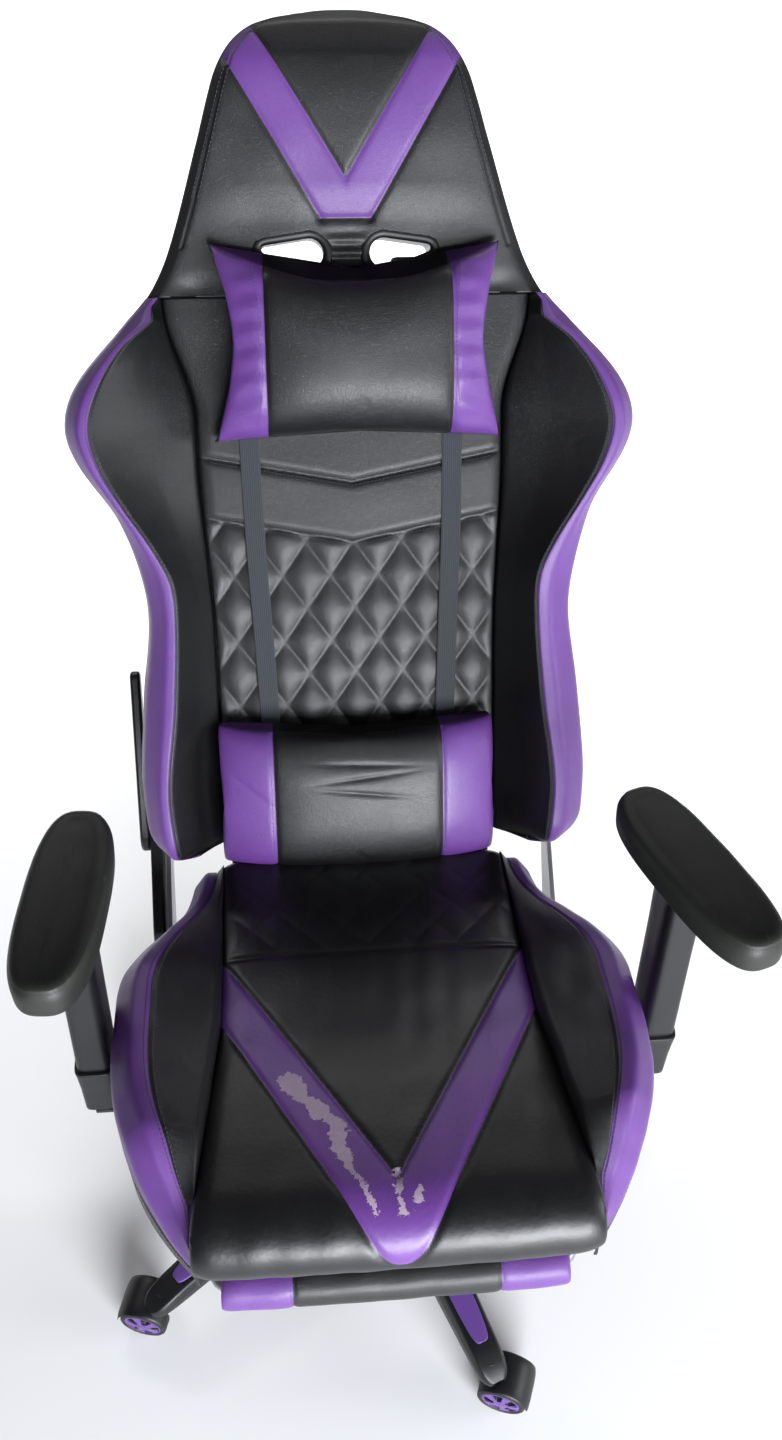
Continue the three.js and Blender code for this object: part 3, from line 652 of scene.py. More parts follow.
def pad_skin():
    """Self-skinned foam: dull olive black, tiny pores, and pale rubs along its length."""
    finish = Finish("arm pad skin")
    place = finish.place()
    pores = finish.pebbles(place, 520, 0.2)
    clouds = finish.noise(place, 16, 4, 0.6)
    rubs = finish.ramp(finish.noise(finish.stretched(place, 90, 16, 60), 4, 5, 0.72), 0.60, 0.74)
    foam = finish.shaded(srgb(33, 35, 31), clouds * 0.5 + 0.75)
    return finish.finished(
        Base_Color=finish.mix(rubs * 0.22, foam, srgb(120, 120, 110)),
        Roughness=clouds * 0.16 + rubs * 0.1 + 0.40,
        Normal=finish.bump(pores * 0.5 + rubs * 0.3 + clouds, 0.0002, 0.6),
        Specular_IOR_Level=0.45,
    )


def tyre_rubber():
    """Hard caster tread: fine grain, with grey dust towards the floor."""
    finish = Finish("caster tread")
    place = finish.place()
    grain = finish.noise(place, 700, 3, 0.6)
    height = finish.node("SeparateXYZ", None, [place], 2)
    dust = finish.ramp(height, 0.022, 0.0) * finish.noise(place, 60, 4)
    return finish.finished(
        Base_Color=finish.mix(dust * 0.35, srgb(20, 20, 21), srgb(118, 112, 106)),
        Roughness=grain * 0.12 + dust * 0.2 + 0.5,
        Normal=finish.bump(grain, 0.0002, 0.5),
    )


def woven_tape():
    """Strap webbing: warp ribs along it crossed by a fine weft, dark grey with paler threads."""
    finish = Finish("strap webbing")
    _, (across, length, _) = finish.pattern()
    ribs = (across * (2 * math.pi / RIB_PITCH)).math("SINE")
    weft = (length * (2 * math.pi / WEFT_PITCH) + ribs * 1.6).math("SINE")
    weave = ribs * 0.3 + weft * 0.2 + 0.5
    fluff = finish.noise(finish.place(), 420, 4, 0.7)
    return finish.finished(
        Base_Color=finish.mix(weave * 0.6 + fluff * 0.3, srgb(20, 22, 26), srgb(62, 68, 76)),
        Roughness=fluff * 0.2 + 0.72,
        Normal=finish.bump(weave + fluff * 0.3, 0.0004, 0.8),
        Sheen_Weight=0.25,
    )


def brushed_steel(name, colour, roughness, streak):
    """Bare steel with fine brushing along one way, and a light haze of handling marks."""
    finish = Finish(name)
    place = finish.place()
    brushing = finish.noise(finish.stretched(place, *streak), 8, 3, 0.6)
    haze = finish.noise(place, 18, 4, 0.6)
    return finish.finished(
        Base_Color=finish.shaded(colour, haze * 0.2 + 0.88),
        Metallic=1.0,
        Roughness=brushing * 0.16 + haze * 0.18 + (roughness - 0.16),
        Normal=finish.bump(brushing, 0.00006, 0.6),
    )


def painted_steel():
    """Black powder coat: orange-peel ripple and a satin shine."""
    finish = Finish("black painted steel")
    place = finish.place()
    peel = finish.noise(place, 420, 2)
    haze = finish.noise(place, 16, 4, 0.6)
    return finish.finished(
        Base_Color=finish.shaded(srgb(27, 27, 29), haze * 0.5 + 0.75),
        Roughness=haze * 0.16 + peel * 0.1 + 0.30,
        Normal=finish.bump(peel, 0.0002, 0.7),
    )


def plywood():
    """Sanded birch board: long grain lines across it, with slow bands of tone."""
    finish = Finish("plywood")
    place = finish.place()
    grain = finish.noise(finish.stretched(place, 6, 130, 130), 3, 5, 0.65)
    bands = finish.noise(finish.stretched(place, 2, 22, 22), 2, 3)
    colour = finish.mix(grain * 0.6 + bands * 0.4, srgb(158, 126, 88), srgb(112, 84, 54))
    return finish.finished(
        Base_Color=colour, Roughness=grain * 0.2 + 0.55, Normal=finish.bump(grain, 0.0003, 0.6)
    )


def thread(name, colour):
    """Polyester thread: two plies' twist as fine bands of light."""
    finish = Finish(name)
    twist = finish.noise(finish.place(), 2600, 1)
    return finish.finished(
        Base_Color=finish.shaded(colour, twist * 0.6 + 0.7), Roughness=twist * 0.2 + 0.45,
        Normal=finish.bump(twist, 0.0002, 0.7),
    )


BLACK_LEATHER = leather("black leather", BLACK_HIDE)
PURPLE_LEATHER = leather("purple leather", PURPLE_HIDE)
HEAD_LEATHER = head_leather()
SEAT_LEATHER = seat_leather()
NECK_LEATHER = pillow_leather("neck pillow leather", NECK_SEAM, 0.975)
WAIST_LEATHER = pillow_leather("waist pillow leather", WAIST_SEAM, 2.0)
FOOT_LEATHER = pillow_leather("foot pad leather", FOOT_SEAM, 2.0)
NYLON = moulded("black nylon", BLACK_MOULDED)
SMOOTH_NYLON = moulded("smooth black nylon", srgb(20, 20, 22), 0.30, 2400)
PURPLE_PLASTIC = moulded("purple plastic", PURPLE_MOULDED, 0.36, 2200)
PAD_SKIN = pad_skin()
TYRE = tyre_rubber()
WEBBING = woven_tape()
SATIN_STEEL = brushed_steel("satin steel", srgb(176, 177, 181), 0.40, (30, 30, 900))
BRIGHT_STEEL = brushed_steel("bright steel", srgb(205, 206, 210), 0.22, (200, 200, 20))
BLACK_STEEL = painted_steel()
BOARD = plywood()
BLACK_THREAD = thread("black thread", srgb(58, 60, 66))
PURPLE_THREAD = thread("purple thread", srgb(96, 78, 138))


# ---- outlines of the padding ----
back_centre = lambda t: 0.150 + 0.008 * smooth((t - 0.2) / 0.2) + 0.027 * smooth((t - 0.44) / 0.11)
back_half_width = curve([
    [-0.022, 0.228], [0.014, 0.233], [0.070, 0.235], [0.150, 0.228], [0.250, 0.218], [0.337, 0.240],
    [0.400, 0.279], [0.436, 0.287], [0.475, 0.272], [0.530, 0.223], [0.560, 0.196], [0.600, 0.175],
    [0.700, 0.141], [0.735, 0.130], [0.762, 0.120], [0.785, 0.105], [0.800, 0.086], [0.808, 0.066],
    [0.813, 0.046],
])
wing_crest = curve([
    [-0.006, 0.198], [0.06, 0.202], [0.15, 0.191], [0.243, 0.185], [0.28, 0.188], [0.314, 0.204],
    [0.354, 0.229], [0.393, 0.250], [0.433, 0.259], [0.475, 0.245], [0.51, 0.220], [0.535, 0.190],
    [0.555, 0.186],
])
wing_height = curve([
    [-0.022, 0.084], [0.1, 0.074], [0.25, 0.062], [0.436, 0.070], [0.52, 0.045], [0.555, 0.020],
])
rear_depth = curve([
    [-0.006, 0.060], [0.3, 0.070], [0.48, 0.066], [0.59, 0.050], [0.7, 0.054], [0.78, 0.050], [0.812, 0.034],
])
head_depth = curve([
    [0.555, 0.008], [0.60, 0.010], [0.65, 0.017], [0.71, 0.026], [0.765, 0.028], [0.795, 0.017], [0.813, 0.002],
])
seat_half_width = lambda y: 0.153 + 0.024 * np.clip((-0.030 - y) / 0.212, 0, 1)
SPLIT, REAR_SPLIT = -0.021, -0.022
SEAT_FLOOR = -0.086
NOSE_PLACE, NOSE_RISE = -0.2145, 0.0340
CHEVRONS = [(0.308, 0.185), (0.370, 0.186)]
HOLE_MARGIN = 0.0046
STITCH_LIFT = 0.0001


def side_outer(y):
    """The seat's outline in plan: straight past the sitter's hips, drawn in to the front and the rear."""
    front = 0.256 - 0.076 * np.clip((-0.043 - y) / 0.205, 0, 1) ** 2.6
    rear = 0.256 - 0.066 * smooth((y + 0.003) / 0.18)
    return np.where(y < -0.043, front, np.minimum(front, rear))


def puffed(distance, half, power=2.4):
    """How far stuffing rises away from a seam: 0 on it, 1 from half a channel away, steep beside it."""
    return 1 - (1 - np.clip(abs(distance) / half, 0, 1)) ** power


def diamonds(across, along, width, height):
    """Quilting of crossed stitch lines, width by height from corner to corner: 0 on a line, 1 in a middle."""
    gap = 1 / math.hypot(1 / width, 1 / height)
    first = across / width + along / height
    second = across / width - along / height
    off = [abs(line - np.round(line)) * gap for line in (first, second)]
    return puffed(off[0], gap / 2, 2.4) * puffed(off[1], gap / 2, 2.4)


def pressed(rings, lift, facing=None, spread=0.35):
    """Pushes a grid of rings out along its normals by the lift. facing keeps to points that look that way."""
    normal = outward(rings)
    if facing is not None:
        lift = lift * smooth((normal @ facing - spread) / 0.4)
    return rings + normal * np.asarray(lift)[..., None]


def seam_row(rings, normals, where):
    """A line of a cover's grid, a hair clear of it for the stitches, and its normals."""
    return rings[where] + normals[where] * STITCH_LIFT, normals[where]


def sewn(name, shell, finish, seams, thread_finish, body, stands_for, pattern, zones=None):
    """A padded cover with its rows of stitches in the same piece."""
    finishes = finish if isinstance(finish, list) else [finish]
    count = len(shell[1]) + len(shell[2])
    zones = np.zeros(count, int) if zones is None else np.asarray(zones)
    threads = [stitch_shell(path, normals) for path, normals in seams]
    thread_zone = len(finishes)
    shells = together([facing_out(shell), *threads])
    split = len(shell[1])
    thread_quads = sum(len(one[1]) for one in threads)
    thread_tris = sum(len(one[2]) for one in threads)
    all_zones = np.concatenate([
        zones[:split], np.full(thread_quads, thread_zone), zones[split:], np.full(thread_tris, thread_zone)
    ])
    extra = len(shells[0]) - len(pattern)
    full_pattern = np.concatenate([pattern, np.zeros((extra, 3))])
    piece = mesh_object(name, shells, [*finishes, thread_finish], all_zones, full_pattern)
    return fitted(piece, body, stands_for)


# ---- back ----
def back_relief(x, t):
    """Height of the back's middle over its seams: two chevron seams, plain above them and quilted below."""
    lower, upper = (t - start - slope * abs(x) for start, slope in CHEVRONS)
    quilt = np.where(lower < 0, diamonds(x, t - CHEVRONS[0][0], 0.0506, 0.0707), 1)
    swell = puffed(lower, 0.011, 3) * puffed(upper, 0.011, 3)
    edge = puffed(back_centre(t) - abs(x), 0.016, 2)
    return 0.0006 + 0.0038 * quilt * swell * edge + 0.0003 * wander(x, t, 3, longest=0.09)


def back_quilt():
    """The middle of the back: stations up it, each a box whose front is laid out finely for the quilting."""
    t, share = one_round_end(0.5548, -0.006, 0.012, 2.4, 280)
    half = back_centre(t) - 0.0004 - 0.004 * (1 - share)
    front, rear = -0.0085 + 0.0105 * share, -0.0085 - 0.0125 * share
    outline = soft_outline(
        corners((-half, rear), (-half, front), (half, front), (half, rear)), [10, 190, 10, 30], 8
    )
    x, d = outline[..., 0], outline[..., 1]
    rings = on_back(x, d, t[:, None])
    rings = pressed(rings, back_relief(x, t[:, None]), BACK_OUT)
    seams = []
    run = np.linspace(-0.146, 0.146, 120)
    for start, slope in CHEVRONS:
        for side in (1, -1):
            line = start + slope * abs(run) + side * 0.0034
            height = 0.0018 + back_relief(run, line)
            seams.append((on_back(run, height, line), np.broadcast_to(BACK_OUT, (120, 3))))
    sewn("back_quilt", lofted(rings), BLACK_LEATHER, seams, BLACK_THREAD, "back",
         ["back_cushion"], grid_pattern(x, d, t[:, None]))


def back_tail():
    """The back cover's hem, which hangs behind the seat and closes the gap between them."""
    place, share = rounded_run(0.028, 0.008, 5, 24)
    t = -0.034 + 0.028 * place
    half = 0.146 - 0.004 * (1 - share)
    middle, thick = -0.0115, 0.0080 * (0.45 + 0.55 * share)
    inner, outer = middle - thick, middle + thick
    section = corners((-half, inner), (-half, outer), (half, outer), (half, inner))
    outline = soft_outline(section, [6, 90, 6, 90], 3)
    x, d = outline[..., 0], outline[..., 1]
    rings = on_back(x, d + 0.0006 * wander(x, t[:, None], 15, longest=0.06), t[:, None])
    piece = mesh_object("back_tail", facing_out(lofted(rings)), BLACK_LEATHER)
    fitted(piece, "back")


WING_STEPS = [6, 26, 26, 12, 14, 14, 14, 30]


def wing_cover(name, side):
    """A side wing: a hollow inner slope up to the crest, then a purple outer face down to the rear shell."""
    t, share = one_round_end(0.5548, -0.022, 0.044, 2.6, 230)
    inner, outer = back_centre(t) + 0.0002, back_half_width(t)
    outer = outer + (0.008 * (1 - smooth((t - 0.28) / 0.12)) + 0.002 if side > 0 else 0)
    outer = inner + (outer - inner) * (0.50 + 0.50 * share)
    crest = np.clip(wing_crest(t), inner + 0.008, outer - 0.014)
    ridge = wing_height(t) * (0.50 + 0.50 * share)
    section = corners(
        (inner, SPLIT), (inner, 0.002), (inner + 0.45 * (crest - inner), 0.42 * ridge), (crest, ridge),
        (crest + 0.35 * (outer - crest), ridge * 0.99), (outer - 0.004, 0.66 * ridge),
        (outer + 0.001, 0.2 * ridge), (outer - 0.003, SPLIT),
    )
    outline = soft_outline(section, WING_STEPS, 10)
    across, d = outline[..., 0], outline[..., 1]
    x = side * across
    rings = on_back(x, d, t[:, None])
    walked = np.arange(outline.shape[1])[None]
    edge = sum(WING_STEPS[:3])
    near = np.minimum(abs(walked - edge) * 0.0021, 0.03)
    crease = -0.0019 * valley(near, 0.0014) + 0.0004 * wander(x * 1.3, t[:, None] + d, 11, longest=0.15)
    rings = pressed(rings, crease)
    normals = outward(rings)
    zone = np.zeros(outline.shape[:2], int)
    zone[:, edge:sum(WING_STEPS[:7])] = 1
    rows = [seam_row(rings, normals, np.s_[6:-12, column]) for column in (edge - 2, edge + 2)]
    sewn(name, lofted(rings), [BLACK_LEATHER, PURPLE_LEATHER], rows, BLACK_THREAD, "back",
         [name.replace("wing_cover", "back_wing")], grid_pattern(x, d, t[:, None]), grid_zones(zone))


def drop_outline(side, grow, count=72):
    """A strap hole's outline: a round end towards the middle, tangents, and a smaller round end outside."""
    (x0, t0, r0), (x1, t1, r1) = (0.037, 0.595, 0.016 + grow), (0.080, 0.599, 0.006 + grow)
    heading = math.atan2(t1 - t0, x1 - x0)
    spread = math.acos((r0 - r1) / math.hypot(x1 - x0, t1 - t0))
    near = heading + spread + np.linspace(0, 2 * (math.pi - spread), count * 2 // 3)
    far = heading - spread + np.linspace(0, 2 * spread, count // 3)
    x = np.concatenate([x0 + r0 * np.cos(near), x1 + r1 * np.cos(far)])
    t = np.concatenate([t0 + r0 * np.sin(near), t1 + r1 * np.sin(far)])
    loop = even_loop(x, t, 0.0022)
    return side * loop[:, 0], loop[:, 1]


def pierced(piece):
    """Cuts both strap holes through a finished cover."""
    for _, side in SIDES:
        x, t = drop_outline(side, HOLE_MARGIN)
        prism = mesh_object("hole cutter", facing_out(lofted(on_back(x, np.array([[-0.12], [0.12]]), t))), [])
        cutter = piece.modifiers.new("strap hole", "BOOLEAN")
        cutter.object = prism
        cutter.solver = "EXACT"
        shaped = bpy.data.meshes.new_from_object(piece.evaluated_get(bpy.context.evaluated_depsgraph_get()))
        piece.modifiers.clear()
        old, piece.data = piece.data, shaped
        bpy.data.meshes.remove(old)
        bpy.data.objects.remove(prism)
    mesh = piece.data
    points = np.empty(len(mesh.vertices) * 3)
    mesh.vertices.foreach_get("co", points)
    own = (points.reshape(-1, 3) - BACK_FOOT) @ np.array([ACROSS, BACK_OUT, BACK_UP]).T
    own = own.astype(np.float32).ravel()
    if "pattern" in mesh.attributes:
        mesh.attributes.remove(mesh.attributes["pattern"])
    mesh.attributes.new("pattern", "FLOAT_VECTOR", "POINT").data.foreach_set("vector", own)
    return piece


def head_relief(x, t):
    """Seams of the headrest: along both sides of the V, and folds across the narrow neck between the holes."""
    above = smooth((t - 0.620) / 0.006)
    sides = np.minimum(abs(head_v_outer(x, t)), abs(head_v_inner(x, t)))
    seams = -0.0020 * valley(sides, 0.0022) * above * (head_v_inner(x, t) > -0.02)
    foot = -0.0018 * valley(t - 0.627, 0.0022) * (abs(x) < 0.027)
    folds = 0.0014 * np.cos((t - 0.583) * 2 * math.pi / 0.0125) * np.exp(-((t - 0.590) / 0.022) ** 2)
    folds = folds * np.exp(-((x / 0.019) ** 4))
    pull = -0.003 * np.exp(-(((abs(x) - 0.150) / 0.02) ** 2)) * np.exp(-(((t - 0.562) / 0.012) ** 2))
    return seams + foot + folds + pull + 0.0006 * wander(x, t, 21, longest=0.08)


def head_cover():
    """The headrest's front: a crowned face within an edge seam, and a side strip round to the rear shell."""
    t, share = one_round_end(0.5552, 0.813, 0.016, 2.2, 150)
    half = back_half_width(t) * (0.94 + 0.06 * share) + 0.0005
    front = head_depth(t) + 0.001
    front = SPLIT + (front - SPLIT) * (0.55 + 0.45 * share)
    shoulder = np.maximum(half - 0.012, half * 0.72)
    flank = SPLIT + 0.72 * (front - SPLIT)
    section = corners(
        (-half, SPLIT), (-half, flank), (-shoulder, front - 0.001), (shoulder, front - 0.001), (half, flank),
        (half, SPLIT),
    )
    steps = [16, 10, 150, 10, 16, 60]
    outline = soft_outline(section, steps, 7)
    x, d = outline[..., 0], outline[..., 1]
    rings = on_back(x, d, t[:, None])
    crown = 0.0035 * (1 - np.clip(abs(x) / shoulder[:, None], 0, 1) ** 3) * smooth((t[:, None] - 0.62) / 0.04)
    rings = pressed(rings, crown + head_relief(x, t[:, None]), BACK_OUT, 0.2)
    walked = np.arange(outline.shape[1])[None]
    edge = np.minimum(abs(walked - sum(steps[:2])), abs(walked - sum(steps[:3])))
    rings = pressed(rings, -0.0016 * valley(edge * 0.002, 0.0016) * (t[:, None] > 0.60))
    normals = outward(rings)
    left, right = sum(steps[:2]), sum(steps[:3])
    rows = [seam_row(rings, normals, np.s_[56:-3, column])
            for column in (left - 2, left + 2, right + 2, right - 2)]
    piece = sewn("head_cover", lofted(rings), HEAD_LEATHER, rows, BLACK_THREAD, "back",
                 ["headrest_cushion"], grid_pattern(x, d, t[:, None]))
    pierced(piece)


def rear_shell():
    """The back's rear: a leather shell over its frame, with a piped panel and a seam across the foot."""
    place, share = rounded_run(0.4085, 0.05, 6, 260)
    t = 0.4025 + 0.4085 * place
    half = (back_half_width(t) - 0.003) * (0.90 + 0.10 * share)
    rear = REAR_SPLIT - (rear_depth(t) + REAR_SPLIT) * (0.35 + 0.65 * share)
    shoulder = half * 0.80
    flank = REAR_SPLIT + 0.62 * (rear - REAR_SPLIT)
    section = corners(
        (half, REAR_SPLIT), (half, flank), (shoulder, rear), (-shoulder, rear), (-half, flank),
        (-half, REAR_SPLIT),
    )
    steps = [14, 20, 90, 20, 14, 70]
    outline = soft_outline(section, steps, 8)
    x, d = outline[..., 0], outline[..., 1]
    rings = on_back(x, d, t[:, None])
    walked = np.arange(outline.shape[1])[None]
    edge = np.minimum(abs(walked - sum(steps[:2])), abs(walked - sum(steps[:3])))
    welt = np.where(edge < 2, 0.0016, 0) - 0.0012 * valley((edge - 3) * 0.003, 0.003)
    foot_seam = -0.0016 * valley(t[:, None] - 0.075, 0.0022) * (abs(x) < shoulder[:, None])
    ripple = 0.0008 * wander(x, t[:, None], 31, longest=0.14)
    rings = pressed(rings, welt + ripple + foot_seam, -BACK_OUT, -0.2)
    normals = outward(rings)
    rows = [seam_row(rings, normals, np.s_[10:-10, column])
            for column in (sum(steps[:2]) + 4, sum(steps[:3]) - 4)]
    piece = sewn("rear_shell", lofted(rings), BLACK_LEATHER, rows, BLACK_THREAD, "back",
                 ["back_rear_cover"], grid_pattern(x, d, t[:, None]))
    pierced(piece)


def strap_port(name, side):
    """A strap hole's moulded liner: a rounded flange on the front, a tube through, and a flange behind."""
    profile = [
        (-0.0022, 0.0080), (-0.0012, 0.0096), (0.0020, 0.0108), (0.0060, 0.0106), (0.0074, 0.0092),
        (0.0074, 0.0070), (0.0044, 0.0062), (0.0044, -0.0500), (0.0080, -0.0520), (0.0080, -0.0545),
        (0.0040, -0.0560), (0.0012, -0.0550), (0.0000, -0.0530), (0.0000, -0.0100),
    ]
    loops = [np.stack(drop_outline(side, grow), -1) for grow, _ in profile]
    count = min(len(loop) for loop in loops)
    even = [
        np.stack([np.interp(np.linspace(0, len(loop), count, endpoint=False), np.arange(len(loop) + 1),
                            np.append(loop[:, k], loop[0, k])) for k in range(2)], -1)
        for loop in loops
    ]
    rings = np.stack([on_back(loop[:, 0], depth, loop[:, 1]) for loop, (_, depth) in zip(even, profile)])
    stands_for = name.replace("strap_port", "strap_bezel")
    hard_piece(name, facing_out(looped(rings)), NYLON, "back", stands_for)


def webbing(name, side):
    """The pillows' strap: from under the back's foot, up its front and in through its hole."""
    points = [
        (0.0935, -0.024, -0.004), (0.0940, 0.0040, 0.010), (0.0950, 0.0068, 0.06), (0.0955, 0.0072, 0.118),
        (0.0990, 0.0072, 0.22), (0.1030, 0.0072, 0.32), (0.1045, 0.0072, 0.416), (0.1030, 0.0074, 0.50),
        (0.0930, 0.0090, 0.545), (0.0790, 0.0122, 0.566), (0.0670, 0.0126, 0.580), (0.0610, 0.0070, 0.5885),
        (0.0590, -0.0100, 0.5905), (0.0590, -0.0480, 0.5905),
    ]
    line = spline(points, 340)
    path = on_back(side * line[:, 0], line[:, 1], line[:, 2])
    ahead = np.gradient(path, axis=0)
    ahead /= np.linalg.norm(ahead, axis=1, keepdims=True)
    lean = np.cross(ahead, np.broadcast_to(ACROSS * side, ahead.shape))
    lean /= np.linalg.norm(lean, axis=1, keepdims=True)
    flat = np.cross(lean, ahead)
    half, half_thick = 0.0112, 0.0009
    place, share = rounded_run(half, half_thick, 6, 14)
    ring_x = np.concatenate([place, place[::-1]]) * half
    ring_d = np.concatenate([share, -share[::-1]]) * half_thick
    rings = path[:, None] + flat[:, None] * ring_x[None, :, None] + lean[:, None] * ring_d[None, :, None]
    walked = np.concatenate([[0], np.cumsum(np.linalg.norm(np.diff(path, axis=0), axis=1))])
    pattern = grid_pattern(ring_x[None], walked[:, None], 0.0)
    piece = mesh_object(name, facing_out(lofted(rings)), WEBBING, pattern=pattern)
    fitted(piece, "back", [name.replace("webbing", "strap")])


# ---- seat ----
def seat_profile():
    """The seat's side view as (y, z) points: flat on top, a round nose at the front and flat below."""
    turn = np.linspace(math.pi / 2, math.pi * 1.42, 80)
    nose_y, nose_z = NOSE_PLACE + 0.0505 * np.cos(turn), -NOSE_RISE + NOSE_RISE * np.sin(turn)
    y = np.concatenate([[0.192, 0.198, 0.197], np.linspace(0.185, NOSE_PLACE, 40)[:-1], nose_y, [-0.15, 0.19]])
    z = np.concatenate([[-0.084, -0.050, -0.012], np.zeros(39), nose_z, [SEAT_FLOOR, SEAT_FLOOR]])
    ring = even_loop(y, z, 0.0024)
    return rounded_ring(ring, 10)


def seat_relief(x, y):
    """Height over the seat's seams: the V's four sides, and thin quilting to the rear of it."""
    outer, inner = seat_v_outer(x, y), seat_v_inner(x, y)
    band_seams = np.minimum(abs(outer), np.where(y < 0.05, abs(inner), 1))
    rear_seam = y - 0.046
    quilt = np.where(rear_seam > 0, diamonds(x + 0.0046, y - 0.107, 0.047, 0.053), 1)
    swell = puffed(band_seams, 0.008, 3) * puffed(rear_seam, 0.008, 3)
    edge = puffed(seat_half_width(y) - abs(x), 0.018, 2)
    return 0.0012 + 0.0026 * swell * edge * np.where(rear_seam > 0, 0.66 + 0.34 * quilt**0.5, 1)


def seat_cover():
    """The middle of the seat: rings of its side view, set side by side and narrowed towards the rear."""
    profile = seat_profile()
    place, share = rounded_run(0.165, 0.02, 10, 170)
    y = profile[None, :, 0] + 0 * place[:, None]
    middle = np.array([0, -0.043])
    z = middle[1] + (profile[None, :, 1] - middle[1]) * (0.70 + 0.30 * share[:, None])
    x = place[:, None] * seat_half_width(y)
    y = y + 0.03 * (1 - share[:, None]) * (y < -0.2) * 0.3
    top = profile[:, 1] > -NOSE_RISE
    step = np.linalg.norm(np.roll(profile, 1, 0) - profile, axis=1)
    fold = -0.20
    start = int(np.argmin(abs(profile[:, 0] - fold) + 10 * ~top))
    order = np.cumsum(step) - np.cumsum(step)[start]
    past_nose = np.arange(len(profile)) > start
    forward = np.where(past_nose, np.maximum(fold - order, -0.34), profile[:, 0])
    along_y = forward[None] + 0 * x
    rings = on_seat(x, y, z)
    crown = 0.0030 * (1 - (abs(place[:, None])) ** 4) * (along_y > -0.30)
    wrinkle = 0.0007 * wander(x, along_y, 41, 7, 0.09)
    relief = (seat_relief(x, along_y) + crown + wrinkle) * smooth((along_y + 0.335) / 0.02)
    rings = pressed(rings, relief * (z > -0.078))
    sewn("seat_cover", lofted(rings), SEAT_LEATHER, [], BLACK_THREAD, "seat",
         ["seat_cushion"], grid_pattern(x, along_y, z))


SIDE_STEPS = [30, 22, 12, 16, 14, 14, 40]


def seat_side(name, side):
    """A seat bolster: a black inner slope, a purple band over the ridge and a black wall to the floor pan."""
    place, share = rounded_run(0.222, 0.03, 5, 190)
    y = -0.029 + 0.222 * place
    inner = seat_half_width(y) + 0.0002
    outer = side_outer(y)
    outer = inner + (outer - inner) * (0.80 + 0.20 * share)
    rise = smooth((y + 0.245) / 0.09) * (1 - 0.62 * smooth((y - 0.02) / 0.13))
    top = -0.024 + 0.054 * rise
    top = SEAT_FLOOR + (top - SEAT_FLOOR) * (0.72 + 0.28 * share)
    floor = SEAT_FLOOR + 0.010 * (1 - share)
    ridge = outer - np.clip(0.036 * (0.6 + 0.4 * rise), 0.012, 0.78 * (outer - inner))
    section = corners(
        (inner, floor), (inner, -0.004 + 0.4 * (top + 0.02)), (ridge, top),
        (ridge + 0.45 * (outer - ridge), top), (outer, top - 0.021),
        (outer - 0.002, 0.42 * top + 0.58 * floor), (outer - 0.006, floor),
    )
    outline = soft_outline(section, SIDE_STEPS, 9)
    x, z = side * outline[..., 0], outline[..., 1]
    rings = on_seat(x, y[:, None], z)
    walked = np.arange(outline.shape[1])[None]
    crest, hem = sum(SIDE_STEPS[:2]), sum(SIDE_STEPS[:5])
    near = np.minimum(abs(walked - crest), abs(walked - hem)) * 0.0022
    relief = -0.0018 * valley(near, 0.0016) + 0.0007 * wander(x + z, y[:, None], 51, longest=0.08)
    rings = pressed(rings, relief)
    normals = outward(rings)
    zone = np.zeros(outline.shape[:2], int)
    zone[:, crest:hem] = 1
    rows = [seam_row(rings, normals, np.s_[5:-5, column]) for column in (crest - 2, crest + 2, hem + 2)]
    sewn(name, lofted(rings), [BLACK_LEATHER, PURPLE_LEATHER], rows, BLACK_THREAD, "seat",
         [name.replace("seat_side", "seat_bolster")], grid_pattern(x, y[:, None], z), grid_zones(zone))


# ---- pillows and pads ----
def finer(rings):
    """Twice the points each way: a middle point is 9/16 of its two neighbours less 1/16 of the next two."""
    ahead = np.roll(rings, -1, 1)
    between = (9 * (rings + ahead) - np.roll(rings, 1, 1) - np.roll(rings, -2, 1)) / 16
    rings = np.stack([rings, between], 2).reshape(len(rings), -1, 3)
    padded = np.concatenate([2 * rings[:1] - rings[1:2], rings, 2 * rings[-1:] - rings[-2:-1]])
    middle = (9 * (padded[1:-2] + padded[2:-1]) - padded[:-3] - padded[3:]) / 16
    doubled = np.empty((2 * len(rings) - 1, *rings.shape[1:]))
    doubled[0::2], doubled[1::2] = rings, middle
    return doubled


def inflated(rings, pressure, cap, stiffness=15):
    """The rings as a closed cloth bag blown up by a steady pressure, no point moving further than the cap."""
    bag = mesh_object("cloth bag", facing_out(lofted(rings)), [])
    cloth = bag.modifiers.new("cloth", "CLOTH")
    cloth.settings.use_pressure = True
    cloth.settings.uniform_pressure_force = pressure
    cloth.settings.effector_weights.gravity = 0
    cloth.settings.quality = 6
    cloth.settings.mass = 0.3
    cloth.settings.tension_stiffness = stiffness
    cloth.settings.compression_stiffness = stiffness
    cloth.settings.bending_stiffness = 0.6
    cloth.point_cache.frame_start, cloth.point_cache.frame_end = 1, 20
    for moment in range(1, 21):
        bpy.context.scene.frame_set(moment)
    settled = bag.evaluated_get(bpy.context.evaluated_depsgraph_get()).data
    found = np.empty(len(settled.vertices) * 3)
    settled.vertices.foreach_get("co", found)
    bpy.context.scene.frame_set(1)
    bpy.data.objects.remove(bag)
    moved = found.reshape(-1, 3)[: rings.size // 3].reshape(rings.shape) - rings
    reach = np.linalg.norm(moved, axis=-1, keepdims=True)
    return rings + moved * np.minimum(1, cap / (reach + 1e-9))


